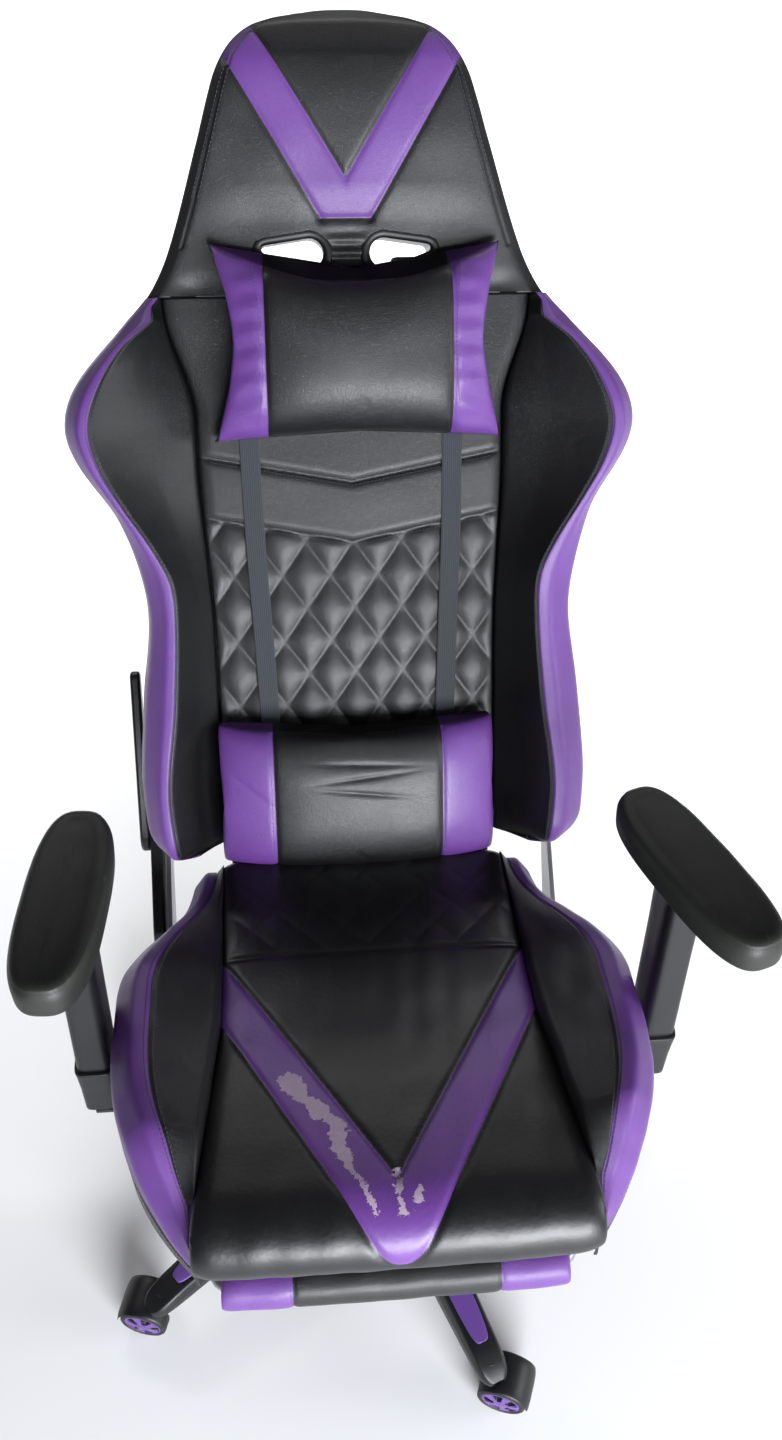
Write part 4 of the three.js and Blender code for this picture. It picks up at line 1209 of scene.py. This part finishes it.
def pillow_rings(bottom, top, half, rear, front, gusset):
    """A pillow's cut panels as rings up the back. Its corners stand out past its sides, top and bottom.

    bottom and top are the middle's place and how much further the corners go; half is the same across."""
    place, share = rounded_run(0.08, 0.03, 3.2, 34)
    across_half = half[0] + (half[1] - half[0]) * abs(place) ** 2.2
    thick = (front - rear) * (0.20 + 0.80 * share)
    run, swell = rounded_run(across_half.mean(), 0.030, gusset, 52)
    u = np.concatenate([run, run[::-1]])
    v = np.concatenate([swell, -swell[::-1]])
    x = u[None] * across_half[:, None]
    rest = abs(u[None]) ** 2.4
    low = bottom[0] + (bottom[1] - bottom[0]) * rest
    high = top[0] + (top[1] - top[0]) * rest
    t = low + (high - low) * (place[:, None] + 1) / 2
    bulge = 1 - 0.30 * abs(u[None]) ** 3
    d = rear + thick[:, None] / 2 * bulge * (1 + v[None])
    d = np.maximum(d, rear)
    return x, u[None] + 0 * x, d, t


def pillow(name, stands_for, leather_finish, seam, shape, creases, thread_finish, shift=0.0):
    """A stuffed pillow: cut panels blown up, then seams drawn in, creases pressed and stitches laid."""
    x, share, d, t = pillow_rings(**shape)
    rings = on_back(x + shift, d, t)
    rings = inflated(rings, 2.2, 0.010)
    depth = (rings - BACK_FOOT) @ BACK_OUT
    rings = rings + np.maximum(shape["rear"] - depth, 0)[..., None] * BACK_OUT
    pattern = np.stack([x, share, t], -1)
    rings, pattern = finer(finer(rings)), finer(finer(pattern))
    px, pt = pattern[..., 0], pattern[..., 2]
    relief = -0.0026 * valley(abs(px) - seam, 0.0028)
    relief = relief + creases(px, pt) + 0.0002 * wander(px, pt, 61, longest=0.11)
    rings = pressed(rings, relief, BACK_OUT, 0.1)
    normals = outward(rings)
    rows = []
    columns = np.arange(rings.shape[1])
    facing = (normals[len(rings) // 2] @ BACK_OUT) > 0.5
    for target in (seam + 0.003, -seam - 0.003):
        column = columns[facing][np.argmin(abs(px[len(rings) // 2, columns[facing]] - target))]
        rows.append(seam_row(rings, normals, np.s_[8:-8, column]))
    flat = np.concatenate([pattern.reshape(-1, 3), pattern[[0, -1]].mean(1)])
    sewn(name, lofted(rings), leather_finish, rows, thread_finish, stands_for,
         [stands_for], flat)


def neck_creases(x, t):
    """Short pulls fanning in from the seams towards the ends."""
    fan = np.cos((t - 0.5) * 2 * math.pi / 0.024 + 14 * abs(x)) * np.exp(-(((abs(x) - 0.107) / 0.013) ** 2))
    return 0.0008 * fan


def waist_creases(x, t):
    """Three short folds in the upper middle, each leaning its own way, and one slanting over an end."""
    middle = np.exp(-(((x - 0.006) / 0.045) ** 2))
    leans = [(0.050, -0.12), (0.066, 0.10), (0.081, -0.05)]
    folds = sum(valley(t - place - x * lean, 0.0026) for place, lean in leans)
    slant = valley((t - 0.055) * 0.8 + (x + 0.115) * 0.6, 0.003) * np.exp(-(((x + 0.115) / 0.016) ** 2))
    return -0.0015 * folds * middle - 0.0016 * slant


def foot_pad_cover():
    """The footrest's pad: a stuffed roll round its front bar, flat to the rear, black between purple ends."""
    place, share = rounded_run(0.1525, 0.02, 6, 150)
    turn = np.linspace(math.pi / 2, math.pi * 1.5, 30)
    over = np.linspace(-0.088, -0.234, 36)
    y = np.concatenate([over[:-1], -0.234 + 0.0205 * np.cos(turn), over[::-1][1:]])
    z = np.concatenate([np.full(35, -0.0995), -0.120 + 0.0205 * np.sin(turn), np.full(35, -0.1405)])
    ring = rounded_ring(even_loop(y, z, 0.0028), 12)
    x = place[:, None] * 0.1575
    middle = np.array([-0.165, -0.120])
    ends = 0.62 + 0.38 * share[:, None]
    rings_y = middle[0] + (ring[None, :, 0] - middle[0]) * (0.94 + 0.06 * share[:, None])
    rings_z = middle[1] + (ring[None, :, 1] - middle[1]) * ends
    rings = on_seat(x, rings_y, rings_z)
    relief = -0.0016 * valley(abs(x) - FOOT_SEAM, 0.0020) + 0.0006 * wander(x, rings_y, 71, longest=0.07)
    rings = pressed(rings, relief)
    normals = outward(rings)
    rows = []
    for target in (FOOT_SEAM + 0.003, -FOOT_SEAM - 0.003):
        station = int(np.argmin(abs(x[:, 0] - target)))
        rows.append(seam_row(rings, normals, np.s_[station, 4:70]))
    pattern = grid_pattern(x, rings_y, rings_z)
    sewn("foot_pad_cover", lofted(rings), FOOT_LEATHER, rows, PURPLE_THREAD, "footrest_pad",
         ["footrest_pad"], pattern)


# ---- armrests ----
ARM_SPOT = {name: (side * 0.277, -0.027) for name, side in SIDES}
PAD_TURNS = {"left": math.radians(18), "right": math.radians(-4)}


def superoval(half_x, half_y, power, count):
    """Points round an outline between an ellipse and a box."""
    angle = np.arange(count) * 2 * math.pi / count
    bend = lambda v: np.sign(v) * abs(v) ** (2 / power)
    return half_x * bend(np.cos(angle)), half_y * bend(np.sin(angle))


def arm_cap(name, side_name, side):
    """A foam arm pad: a tucked lower edge, bulging sides, a soft rim and a shallow dish along the top."""
    x0, y0 = superoval(1, 1, 2.9, 120)
    rows = [
        (0.171, 0.0040), (0.1735, 0.0012), (0.180, 0.0004), (0.190, 0.0), (0.1955, 0.0010), (0.1990, 0.0028),
        (0.2012, 0.0055), (0.2022, 0.0090), (0.2020, 0.0130), (0.2010, 0.018), (0.2003, 0.024), (0.2000, 0.031),
    ]
    steps = np.linspace(0, len(rows) - 1, 56)
    heights, insets = (curve([[i, row[k]] for i, row in enumerate(rows)])(steps) for k in (0, 1))
    half_x, half_y = 0.037 - insets, 0.110 - insets
    cx, cy = x0[None] * half_x[:, None], y0[None] * half_y[:, None]
    z = heights[:, None] + 0.0014 * (cy / 0.110) ** 2 * (heights[:, None] > 0.199) - 0.0009
    z = z + 0.0005 * wander(cx, cy, 81, longest=0.09) * (heights[:, None] > 0.196)
    turn = PAD_TURNS[side_name]
    cx, cy = cx - side * 0.002, cy - 0.019
    x = ARM_SPOT[side_name][0] + cx * math.cos(turn) - cy * math.sin(turn)
    y = ARM_SPOT[side_name][1] + cx * math.sin(turn) + cy * math.cos(turn)
    piece = mesh_object(name, facing_out(lofted(on_seat(x, y, z))), PAD_SKIN)
    fitted(piece, f"arm_pad_{side_name}", [f"arm_pad_{side_name}"])


def arm_shells(side_name):
    """The armrest's two moulded sleeves, with rounded corners and a parting groove, and its button and bracket."""
    x0, y0 = ARM_SPOT[side_name]
    ring_x, ring_y = superoval(1, 1, 5, 96)

    def sleeve(name, body, stands_for, rows):
        spans = [np.linspace(low[0], high[0], 8)[:-1] for low, high in zip(rows, rows[1:])]
        heights = np.concatenate([*spans, [rows[-1][0]]])
        half_x = np.interp(heights, [r[0] for r in rows], [r[1] for r in rows])
        half_y = np.interp(heights, [r[0] for r in rows], [r[2] for r in rows])
        x = x0 + ring_x[None] * half_x[:, None]
        y = y0 + ring_y[None] * half_y[:, None]
        seam = 0.0006 * np.exp(-((ring_y[None] * half_y[:, None] / 0.0009) ** 2))
        x = x - np.sign(ring_x[None]) * seam * (abs(ring_x[None]) > 0.8)
        shell = facing_out(lofted(on_seat(x, y, heights[:, None])))
        hard_piece(name, shell, NYLON, body, stands_for, 60)

    sleeve(f"arm_sleeve_{side_name}", f"arm_{side_name}", f"arm_upper_sleeve_{side_name}", [
        (-0.0336, 0.0155, 0.0255), (-0.0320, 0.0170, 0.0270), (0.0000, 0.0170, 0.0273),
        (0.0860, 0.0168, 0.0278), (0.1500, 0.0172, 0.0292), (0.1640, 0.0180, 0.0310),
        (0.1685, 0.0190, 0.0330), (0.1698, 0.0186, 0.0326),
    ])
    sleeve(f"arm_socket_{side_name}", "seat", f"arm_lower_sleeve_{side_name}", [
        (-0.0960, 0.0145, 0.0235), (-0.0945, 0.0160, 0.0250), (-0.0640, 0.0172, 0.0266),
        (-0.0420, 0.0190, 0.0288), (-0.0375, 0.0196, 0.0296), (-0.0350, 0.0192, 0.0292),
        (-0.0342, 0.0178, 0.0276),
    ])
    button = dressed(f"arm_key_{side_name}", f"arm_button_{side_name}", SMOOTH_NYLON, 0.0012)
    fitted(button, f"arm_button_{side_name}", [f"arm_button_{side_name}"])
    bracket = dressed(f"arm_support_{side_name}", f"arm_bracket_{side_name}", BLACK_STEEL)
    fitted(bracket, "seat", [f"arm_bracket_{side_name}"])


# ---- base ----
ARM_TURNS = [math.radians(-69.5 - 72 * i) for i in range(5)]
CASTER_TURNS = [math.radians(turn) for turn in (-22, 163, 150, 35, 172)]
arm_width = lambda r: 0.052 - 0.018 * np.clip((r - 0.030) / 0.270, 0, 1)
arm_top = lambda r: 0.108 - 0.029 * np.clip((r - 0.030) / 0.270, 0, 1)
CASTER_REACH, CASTER_TRAIL, WHEEL_RADIUS = 0.302, 0.020, 0.026
arm_bottom = lambda r: 0.048 + 0.011 * smooth((r - 0.030) / 0.120)


def turned_about(points, angle, centre=(0.0, 0.0, 0.0)):
    """Points turned about an upright axis through the centre."""
    cos, sin = math.cos(angle), math.sin(angle)
    return points @ np.array([[cos, sin, 0], [-sin, cos, 0], [0, 0, 1]]) + np.asarray(centre)


def base_arm(angle):
    """One arm: a ridged, rounded section that narrows outwards and droops in a nose over its caster's stem."""
    droop = np.sin(np.linspace(0.1, math.pi / 2, 14))
    r = np.concatenate([np.linspace(0.018, 0.285, 60), 0.285 + 0.036 * droop])
    nose = np.clip((r - 0.283) / 0.038, 0, 1)
    half = arm_width(r) / 2 * np.sqrt(1 - 0.80 * nose**4) + 0.0005
    top = arm_top(np.minimum(r, CASTER_REACH)) + 0.0004 - 0.013 * nose**2.4
    low = arm_bottom(r) + 0.001 * nose
    section = corners(
        (-half, low), (-half, low + 0.55 * (top - low)), (-0.80 * half, top), (0.80 * half, top),
        (half, low + 0.55 * (top - low)), (half, low), (0.72 * half, low), (0.66 * half, low + 0.006),
        (-0.66 * half, low + 0.006), (-0.72 * half, low),
    )
    outline = soft_outline(section, [8, 6, 14, 6, 8, 3, 3, 10, 3, 3], 2)
    rings = np.stack(np.broadcast_arrays(r[:, None], outline[..., 0], outline[..., 1]), -1)
    return facing_out(lofted(turned_about(rings, angle, COLUMN)))


def five_star_base():
    """The star base: five arms grown out of a hub with a collar round the lift."""
    hub = [
        (0.0256, 0.046), (0.040, 0.046), (0.0425, 0.049), (0.043, 0.080), (0.0425, 0.100), (0.040, 0.1065),
        (0.036, 0.1085), (0.034, 0.1115), (0.0325, 0.1122), (0.0256, 0.1122),
    ]
    shells = [turned_shell(hub, COLUMN, sides=96)]
    shells += [base_arm(angle) for angle in ARM_TURNS]
    hard_piece("five_star_base", together(shells), NYLON, "base", "star_base", 48)


def arm_inlay(name, angle):
    """A purple insert on an arm: a low crowned strip with round ends and a row of slanted slots."""
    r0, r1, count = 0.084, 0.284, 160
    place, share = rounded_run((r1 - r0) / 2, 0.0165, 4, count)
    r = (r0 + r1) / 2 + place * (r1 - r0) / 2
    half = 0.64 * arm_width(r) / 2 * (0.15 + 0.85 * share)
    top = arm_top(r) + 0.0029
    section = corners((-half, top - 0.0025), (-half, top), (half, top), (half, top - 0.0025))
    outline = soft_outline(section, [4, 40, 4, 16], 3)
    across, up = outline[..., 0], outline[..., 1]
    slant = (r[:, None] - across * 0.9 - r0) / 0.011
    slot = np.exp(-(((slant - np.round(slant)) * 0.011 / 0.0013) ** 4)) * (abs(across) < 0.0042)
    slot = slot * (r[:, None] > 0.135) * (r[:, None] < 0.222) * (up > top[:, None] - 0.0004)
    crown = 0.0010 * (1 - (across / half[:, None]) ** 2)
    rings = np.stack(np.broadcast_arrays(r[:, None], across, up + crown - 0.0014 * slot), -1)
    shell = facing_out(lofted(turned_about(rings, angle, COLUMN)))
    stands_for = name.replace("arm_inlay", "base_trim")
    hard_piece(name, shell, PURPLE_PLASTIC, "base", stands_for, 60)


def caster_frame(angle, trail):
    """A caster's stem, its hub, the way that it points and the way that its axle runs."""
    stem = COLUMN + [CASTER_REACH * math.cos(angle), CASTER_REACH * math.sin(angle), 0]
    forward = np.array([math.cos(trail), math.sin(trail), 0.0])
    sideways = np.array([-math.sin(trail), math.cos(trail), 0.0])
    return stem, stem + CASTER_TRAIL * forward + [0, 0, WHEEL_RADIUS], forward, sideways


def caster_cover(number, stem, hub, forward, sideways):
    """A caster's hood: a roof over both wheels, a web between them, and a collar and pin up into the arm."""
    axes = [forward, UPRIGHT, sideways]
    sweep = np.linspace(math.radians(8), math.radians(150), 44)[:, None]
    roof_half = 0.0222
    section = corners((-roof_half, 0.0274), (-roof_half, 0.0300), (roof_half, 0.0300), (roof_half, 0.0274))
    ring = soft_outline(section[None], [3, 26, 3, 26], 2)[0]
    radius = ring[None, :, 1] - 0.0016 * (ring[None, :, 0] / roof_half) ** 4 * (ring[None, :, 1] > 0.029)
    roof = placed(hub, axes, radius * np.cos(sweep), radius * np.sin(sweep), ring[None, :, 0])
    sweep = np.linspace(math.radians(4), math.radians(154), 40)[:, None]
    web_outer, web_inner, web_half = 0.0283, 0.0096, 0.0034
    radius = np.array([[web_inner, web_outer, web_outer, web_inner]])
    aside = np.array([[-web_half, -web_half, web_half, web_half]])
    web = placed(hub, axes, radius * np.cos(sweep), radius * np.sin(sweep), aside)
    collar = rod_shell([(0.0105, 0.0498), (0.0108, 0.0520), (0.0095, 0.0560), (0.0078, 0.0580)], stem)
    pin = rod_shell([(0.0055, 0.0560), (0.0055, 0.0745), (0.0045, 0.0758)], stem)
    barrel = [(0.0096, -0.0034), (0.0102, -0.0030), (0.0102, 0.0030), (0.0096, 0.0034)]
    bearing = rod_shell(barrel, hub, sideways)
    shells = [facing_out(lofted(roof)), facing_out(lofted(web)), collar, pin, bearing]
    hard_piece(f"caster_cover_{number}", together(shells), NYLON, f"caster_{number}",
               f"caster_hood_{number}")


def hub_cap(hub, axes, side, outer, count=150):
    """A domed cap with five windows between its spokes, and which of its quads lie down in a window."""
    radii = np.concatenate([np.linspace(0.0203, 0.0195, 3), np.linspace(0.0188, 0.0006, 34)])
    turn = np.arange(count) * 2 * math.pi / count
    petal = (turn * 5 / (2 * math.pi)) % 1 - 0.5
    mid = (radii - 0.0130)[:, None]
    width = 0.0046 + 0.36 * mid
    window = smooth((width - abs(petal[None] * 2 * math.pi / 5 * radii[:, None])) / 0.0007)
    window = window * smooth((0.0058 - abs(mid)) / 0.0008)
    dome = 0.0006 + 0.0018 * (1 - (radii / 0.0203) ** 2)
    height = (outer - 0.0016 + dome)[:, None] - 0.0034 * window
    boss = np.exp(-((radii[:, None] / 0.0046) ** 6)) * 0.0006
    cos, sin = np.cos(turn), np.sin(turn)
    face = placed(hub, axes, radii[:, None] * cos, radii[:, None] * sin, side * (height + boss))
    rim = placed(hub, axes, 0.0203 * cos, 0.0203 * sin, np.full(count, side * (outer - 0.0056)))
    deep = np.concatenate([np.zeros((1, count)), window])
    deep = deep + np.roll(deep, -1, 1)
    return facing_out(lofted(np.concatenate([rim[None], face]))), (deep[:-1] + deep[1:] > 1.6).ravel()


def twin_wheels(number, hub, forward, sideways):
    """Both wheels of a caster: tyres with rounded treads, spoked purple caps, and the axle between."""
    axes = [forward, UPRIGHT, sideways]
    inner, outer = 0.0041, 0.0221
    tread = [
        (0.0060, inner), (0.0235, inner), (0.0254, inner + 0.0012), (0.0260, inner + 0.0035),
        (0.0260, outer - 0.0042), (0.0255, outer - 0.0018), (0.0238, outer - 0.0004), (0.0216, outer - 0.0002),
        (0.0206, outer - 0.0010), (0.0204, outer - 0.0040), (0.0060, outer - 0.0040),
    ]
    rubber, purple, black = range(3)
    shells, quad_zones, tri_zones = [], [], []
    for side in (1, -1):
        tyre = turned_shell([(r, w * side) for r, w in tread], hub, sideways, 72)
        disc, dark = hub_cap(hub, axes, side, outer)
        shells += [tyre, disc]
        quad_zones += [np.full(len(tyre[1]), rubber), np.where(dark, black, purple)]
        tri_zones += [np.full(len(tyre[2]), rubber), np.full(len(disc[2]), purple)]
    axle = rod_shell([(0.004, -0.0061), (0.004, 0.0061)], hub, sideways, 24)
    shells.append(axle)
    quad_zones.append(np.full(len(axle[1]), black))
    tri_zones.append(np.full(len(axle[2]), black))
    zones, finishes = np.concatenate(quad_zones + tri_zones), [TYRE, PURPLE_PLASTIC, NYLON]
    piece = mesh_object(f"twin_wheels_{number}", together(shells), finishes, zones, sharp=50)
    fitted(piece, f"caster_wheels_{number}", [f"caster_wheels_{number}"])


# ---- lift and tilt mechanism ----
def lift():
    """The gas lift: a painted cylinder, a bright rod, and three telescopic covers with rolled rims."""
    cylinder = [
        (0.0150, 0.058), (0.0150, 0.2035), (0.0160, 0.205), (0.0235, 0.205), (0.0250, 0.2035), (0.0250, 0.049),
        (0.0238, 0.0475), (0.0160, 0.0475),
    ]
    hard_piece("lift_tube", turned_shell(cylinder, COLUMN), BLACK_STEEL, "base", "lift_cylinder")
    rod = [(0.0135, 0.0600), (0.0140, 0.0608), (0.0140, 0.2490), (0.0132, 0.2500)]
    hard_piece("lift_rod", rod_shell(rod, COLUMN), BRIGHT_STEEL, "lift_column", "lift_piston")
    covers = [("lower", 0.0320, 0.1124, 0.165, "base"), ("middle", 0.0289, 0.117, 0.185, "lift_cover_middle"),
              ("upper", 0.0258, 0.121, 0.205, "lift_column")]
    for place, inner, low, high, body in covers:
        outer = inner + 0.0025
        wall = [(inner, low + 0.0006), (inner + 0.0006, low), (outer - 0.0006, low), (outer, low + 0.0006),
                (outer, high - 0.0060), (outer + 0.0004, high - 0.0052), (outer + 0.0004, high - 0.0012),
                (outer - 0.0002, high), (inner + 0.0006, high), (inner, high - 0.0006)]
        hard_piece(f"lift_gaiter_{place}", turned_shell(wall, COLUMN), NYLON, body,
                   f"lift_cover_{place}")


def tension_grip():
    """The tilt tension knob: eighteen finger ribs round a domed cap on a threaded shank."""
    turn = np.arange(216) * 2 * math.pi / 216
    rows = [
        (0.0150, 0.1835), (0.0178, 0.1830), (0.0186, 0.1845), (0.0188, 0.1880), (0.0188, 0.2050),
        (0.0184, 0.2085), (0.0172, 0.2105), (0.0120, 0.2110), (0.0058, 0.2112), (0.0056, 0.2360),
    ]
    radius, height = np.array(rows).T
    ribbed = (height > 0.184) & (height < 0.208) & (radius > 0.018)
    ribs = 0.0010 * abs(np.cos(9 * turn))[None] * ribbed[:, None]
    reach = radius[:, None] - ribs
    rings = on_floor(reach * np.cos(turn), -0.062 + reach * np.sin(turn), height[:, None])
    shell = facing_out(lofted(rings))
    hard_piece("tension_grip", shell, NYLON, "tension_knob", "tension_knob")


def lift_handle():
    """The lift lever: a straight rod with a flat moulded paddle on its end."""
    rod = rod_shell([(0.0038, 0.052), (0.0045, 0.053), (0.0045, 0.224), (0.0040, 0.226)],
                    on_floor(0.0, -0.052, 0.236), -ACROSS, 32)
    place, share = rounded_run(0.0170, 0.0130, 3, 40)
    x = -0.229 + place * 0.0170
    half_y, half_z = 0.0130 * (0.35 + 0.65 * share), 0.0050 * (0.35 + 0.65 * share)
    ring_y, ring_z = superoval(1, 1, 3.2, 48)
    paddle = on_floor(x[:, None], -0.052 + ring_y * half_y[:, None], 0.2365 + ring_z * half_z[:, None])
    shell = together([rod, facing_out(lofted(paddle))])
    hard_piece("lift_handle", shell, SMOOTH_NYLON, "lift_lever", "lift_lever", 60)


def footrest_slide():
    """The footrest's rail: one bent tube from guide to guide, with capped ends."""
    bend, x, y0, z = 0.022, 0.165, -0.234, -0.120
    corner = np.linspace(0, math.pi / 2, 14)
    arc = np.stack([x - bend + bend * np.cos(corner), y0 + bend - bend * np.sin(corner), 0 * corner + z], -1)
    half = np.concatenate([[[x, 0.150, z], [x, 0.0, z], [x, -0.15, z]], arc, [[0.08, y0, z]]])
    line = along(np.concatenate([half, half[::-1] * [-1, 1, 1]]), 0.006)
    path = on_seat(line[:, 0], line[:, 1], line[:, 2])
    shell = tube_shell(path, 0.0060, 20, level=SEAT_UP)
    hard_piece("footrest_tube", shell, SATIN_STEEL, "footrest_frame", "footrest_rail", 60)


# ---- build ----
back_quilt()
back_tail()
head_cover()
rear_shell()
for side_name, side in SIDES:
    wing_cover(f"wing_cover_{side_name}", side)
    strap_port(f"strap_port_{side_name}", side)
    webbing(f"webbing_{side_name}", side)
neck_cut = {"bottom": (0.424, 0.409), "top": (0.573, 0.609), "half": (0.133, 0.146), "rear": 0.0095,
            "front": 0.078, "gusset": 4.0}
pillow("neck_pillow", "head_pillow", NECK_LEATHER, NECK_SEAM, neck_cut, neck_creases, PURPLE_THREAD, 0.007)
waist_cut = {"bottom": (-0.042, -0.038), "top": (0.112, 0.124), "half": (0.148, 0.147), "rear": 0.0095,
             "front": 0.068, "gusset": 4.0}
pillow("waist_pillow", "lumbar_pillow", WAIST_LEATHER, WAIST_SEAM, waist_cut, waist_creases, PURPLE_THREAD, -0.004)
seat_cover()
for side_name, side in SIDES:
    seat_side(f"seat_side_{side_name}", side)
    arm_cap(f"arm_cap_{side_name}", side_name, side)
    arm_shells(side_name)
foot_pad_cover()
five_star_base()
for number, (angle, turn) in enumerate(zip(ARM_TURNS, CASTER_TURNS), 1):
    arm_inlay(f"arm_inlay_{number}", angle)
    stem, hub, forward, sideways = caster_frame(angle, turn)
    caster_cover(number, stem, hub, forward, sideways)
    twin_wheels(number, hub, forward, sideways)
lift()
tension_grip()
lift_handle()
footrest_slide()

MACHINED = {
    "tilt_case": ("tilt_housing", "mechanism", BLACK_STEEL, "black_steel", 0.0016),
    "tilt_pin": ("tilt_axle", "mechanism", SATIN_STEEL, "satin_steel", 0.0010),
    "seat_carrier": ("seat_plate", "seat", BLACK_STEEL, "black_steel", 0.0008),
    "seat_base_board": ("seat_board", "seat", BOARD, "plywood", 0.0008),
    "rail_guide_left": ("footrest_guide_left", "seat", NYLON, "black_nylon", 0.0012),
    "rail_guide_right": ("footrest_guide_right", "seat", NYLON, "black_nylon", 0.0012),
    "hinge_plate_left": ("recline_plate_left", "seat", SATIN_STEEL, "satin_steel", 0.0008),
    "hinge_plate_right": ("recline_plate_right", "seat", SATIN_STEEL, "satin_steel", 0.0008),
    "hinge_cover": ("recline_cover", "seat", NYLON, "black_nylon", 0.0022),
    "recline_handle": ("recline_lever", "recline_lever", SMOOTH_NYLON, "black_nylon", 0.0030),
}
for name, (node, body, finish, slot, edge) in MACHINED.items():
    fitted(dressed(name, node, finish, edge), body, [node])
back_frame = frame["nodes"]["back_frame"]
back_frame.data.materials.clear()
back_frame.data.materials.append(BLACK_STEEL)


# ---- studio ----
def floor():
    """A plain pale floor."""
    finish = Finish("studio floor")
    material = finish.finished(Base_Color=(0.86, 0.86, 0.87), Roughness=0.65, Specular_IOR_Level=0.2)
    square = np.array([[-8, -8, 0], [8, -8, 0], [8, 8, 0], [-8, 8, 0]], float)
    ground = mesh_object("studio floor", (square, np.array([[0, 1, 2, 3]]), np.zeros((0, 3), int)), material)


def softbox(name, place, target, size, power, tint=(1, 1, 1)):
    data = bpy.data.lights.new(name, "AREA")
    data.shape = "RECTANGLE"
    data.size, data.size_y = size
    data.energy = power
    data.color = tint
    light = bpy.data.objects.new(name, data)
    light.location = Vector(place)
    light.rotation_euler = (Vector(target) - Vector(place)).to_track_quat("-Z", "Y").to_euler()
    bpy.context.scene.collection.objects.link(light)


floor()
softbox("front softbox", (0.7, -2.9, 1.05), (0, 0.1, 0.75), (2.0, 1.3), 205, (0.93, 0.96, 1.0))
softbox("side softbox", (2.6, -0.7, 1.1), (0, 0, 0.5), (1.2, 1.0), 24, (0.96, 0.97, 1.0))
softbox("backdrop light", (0, 2.0, 2.6), (0, 4.2, 0), (4.0, 1.4), 330)
world = bpy.data.worlds.new("studio")
bpy.context.scene.world = world
world.use_nodes = True
world.node_tree.nodes["Background"].inputs["Color"].default_value = (0.96, 0.97, 1.0, 1)
world.node_tree.nodes["Background"].inputs["Strength"].default_value = 0.10
bpy.context.scene.view_settings.view_transform = "Standard"
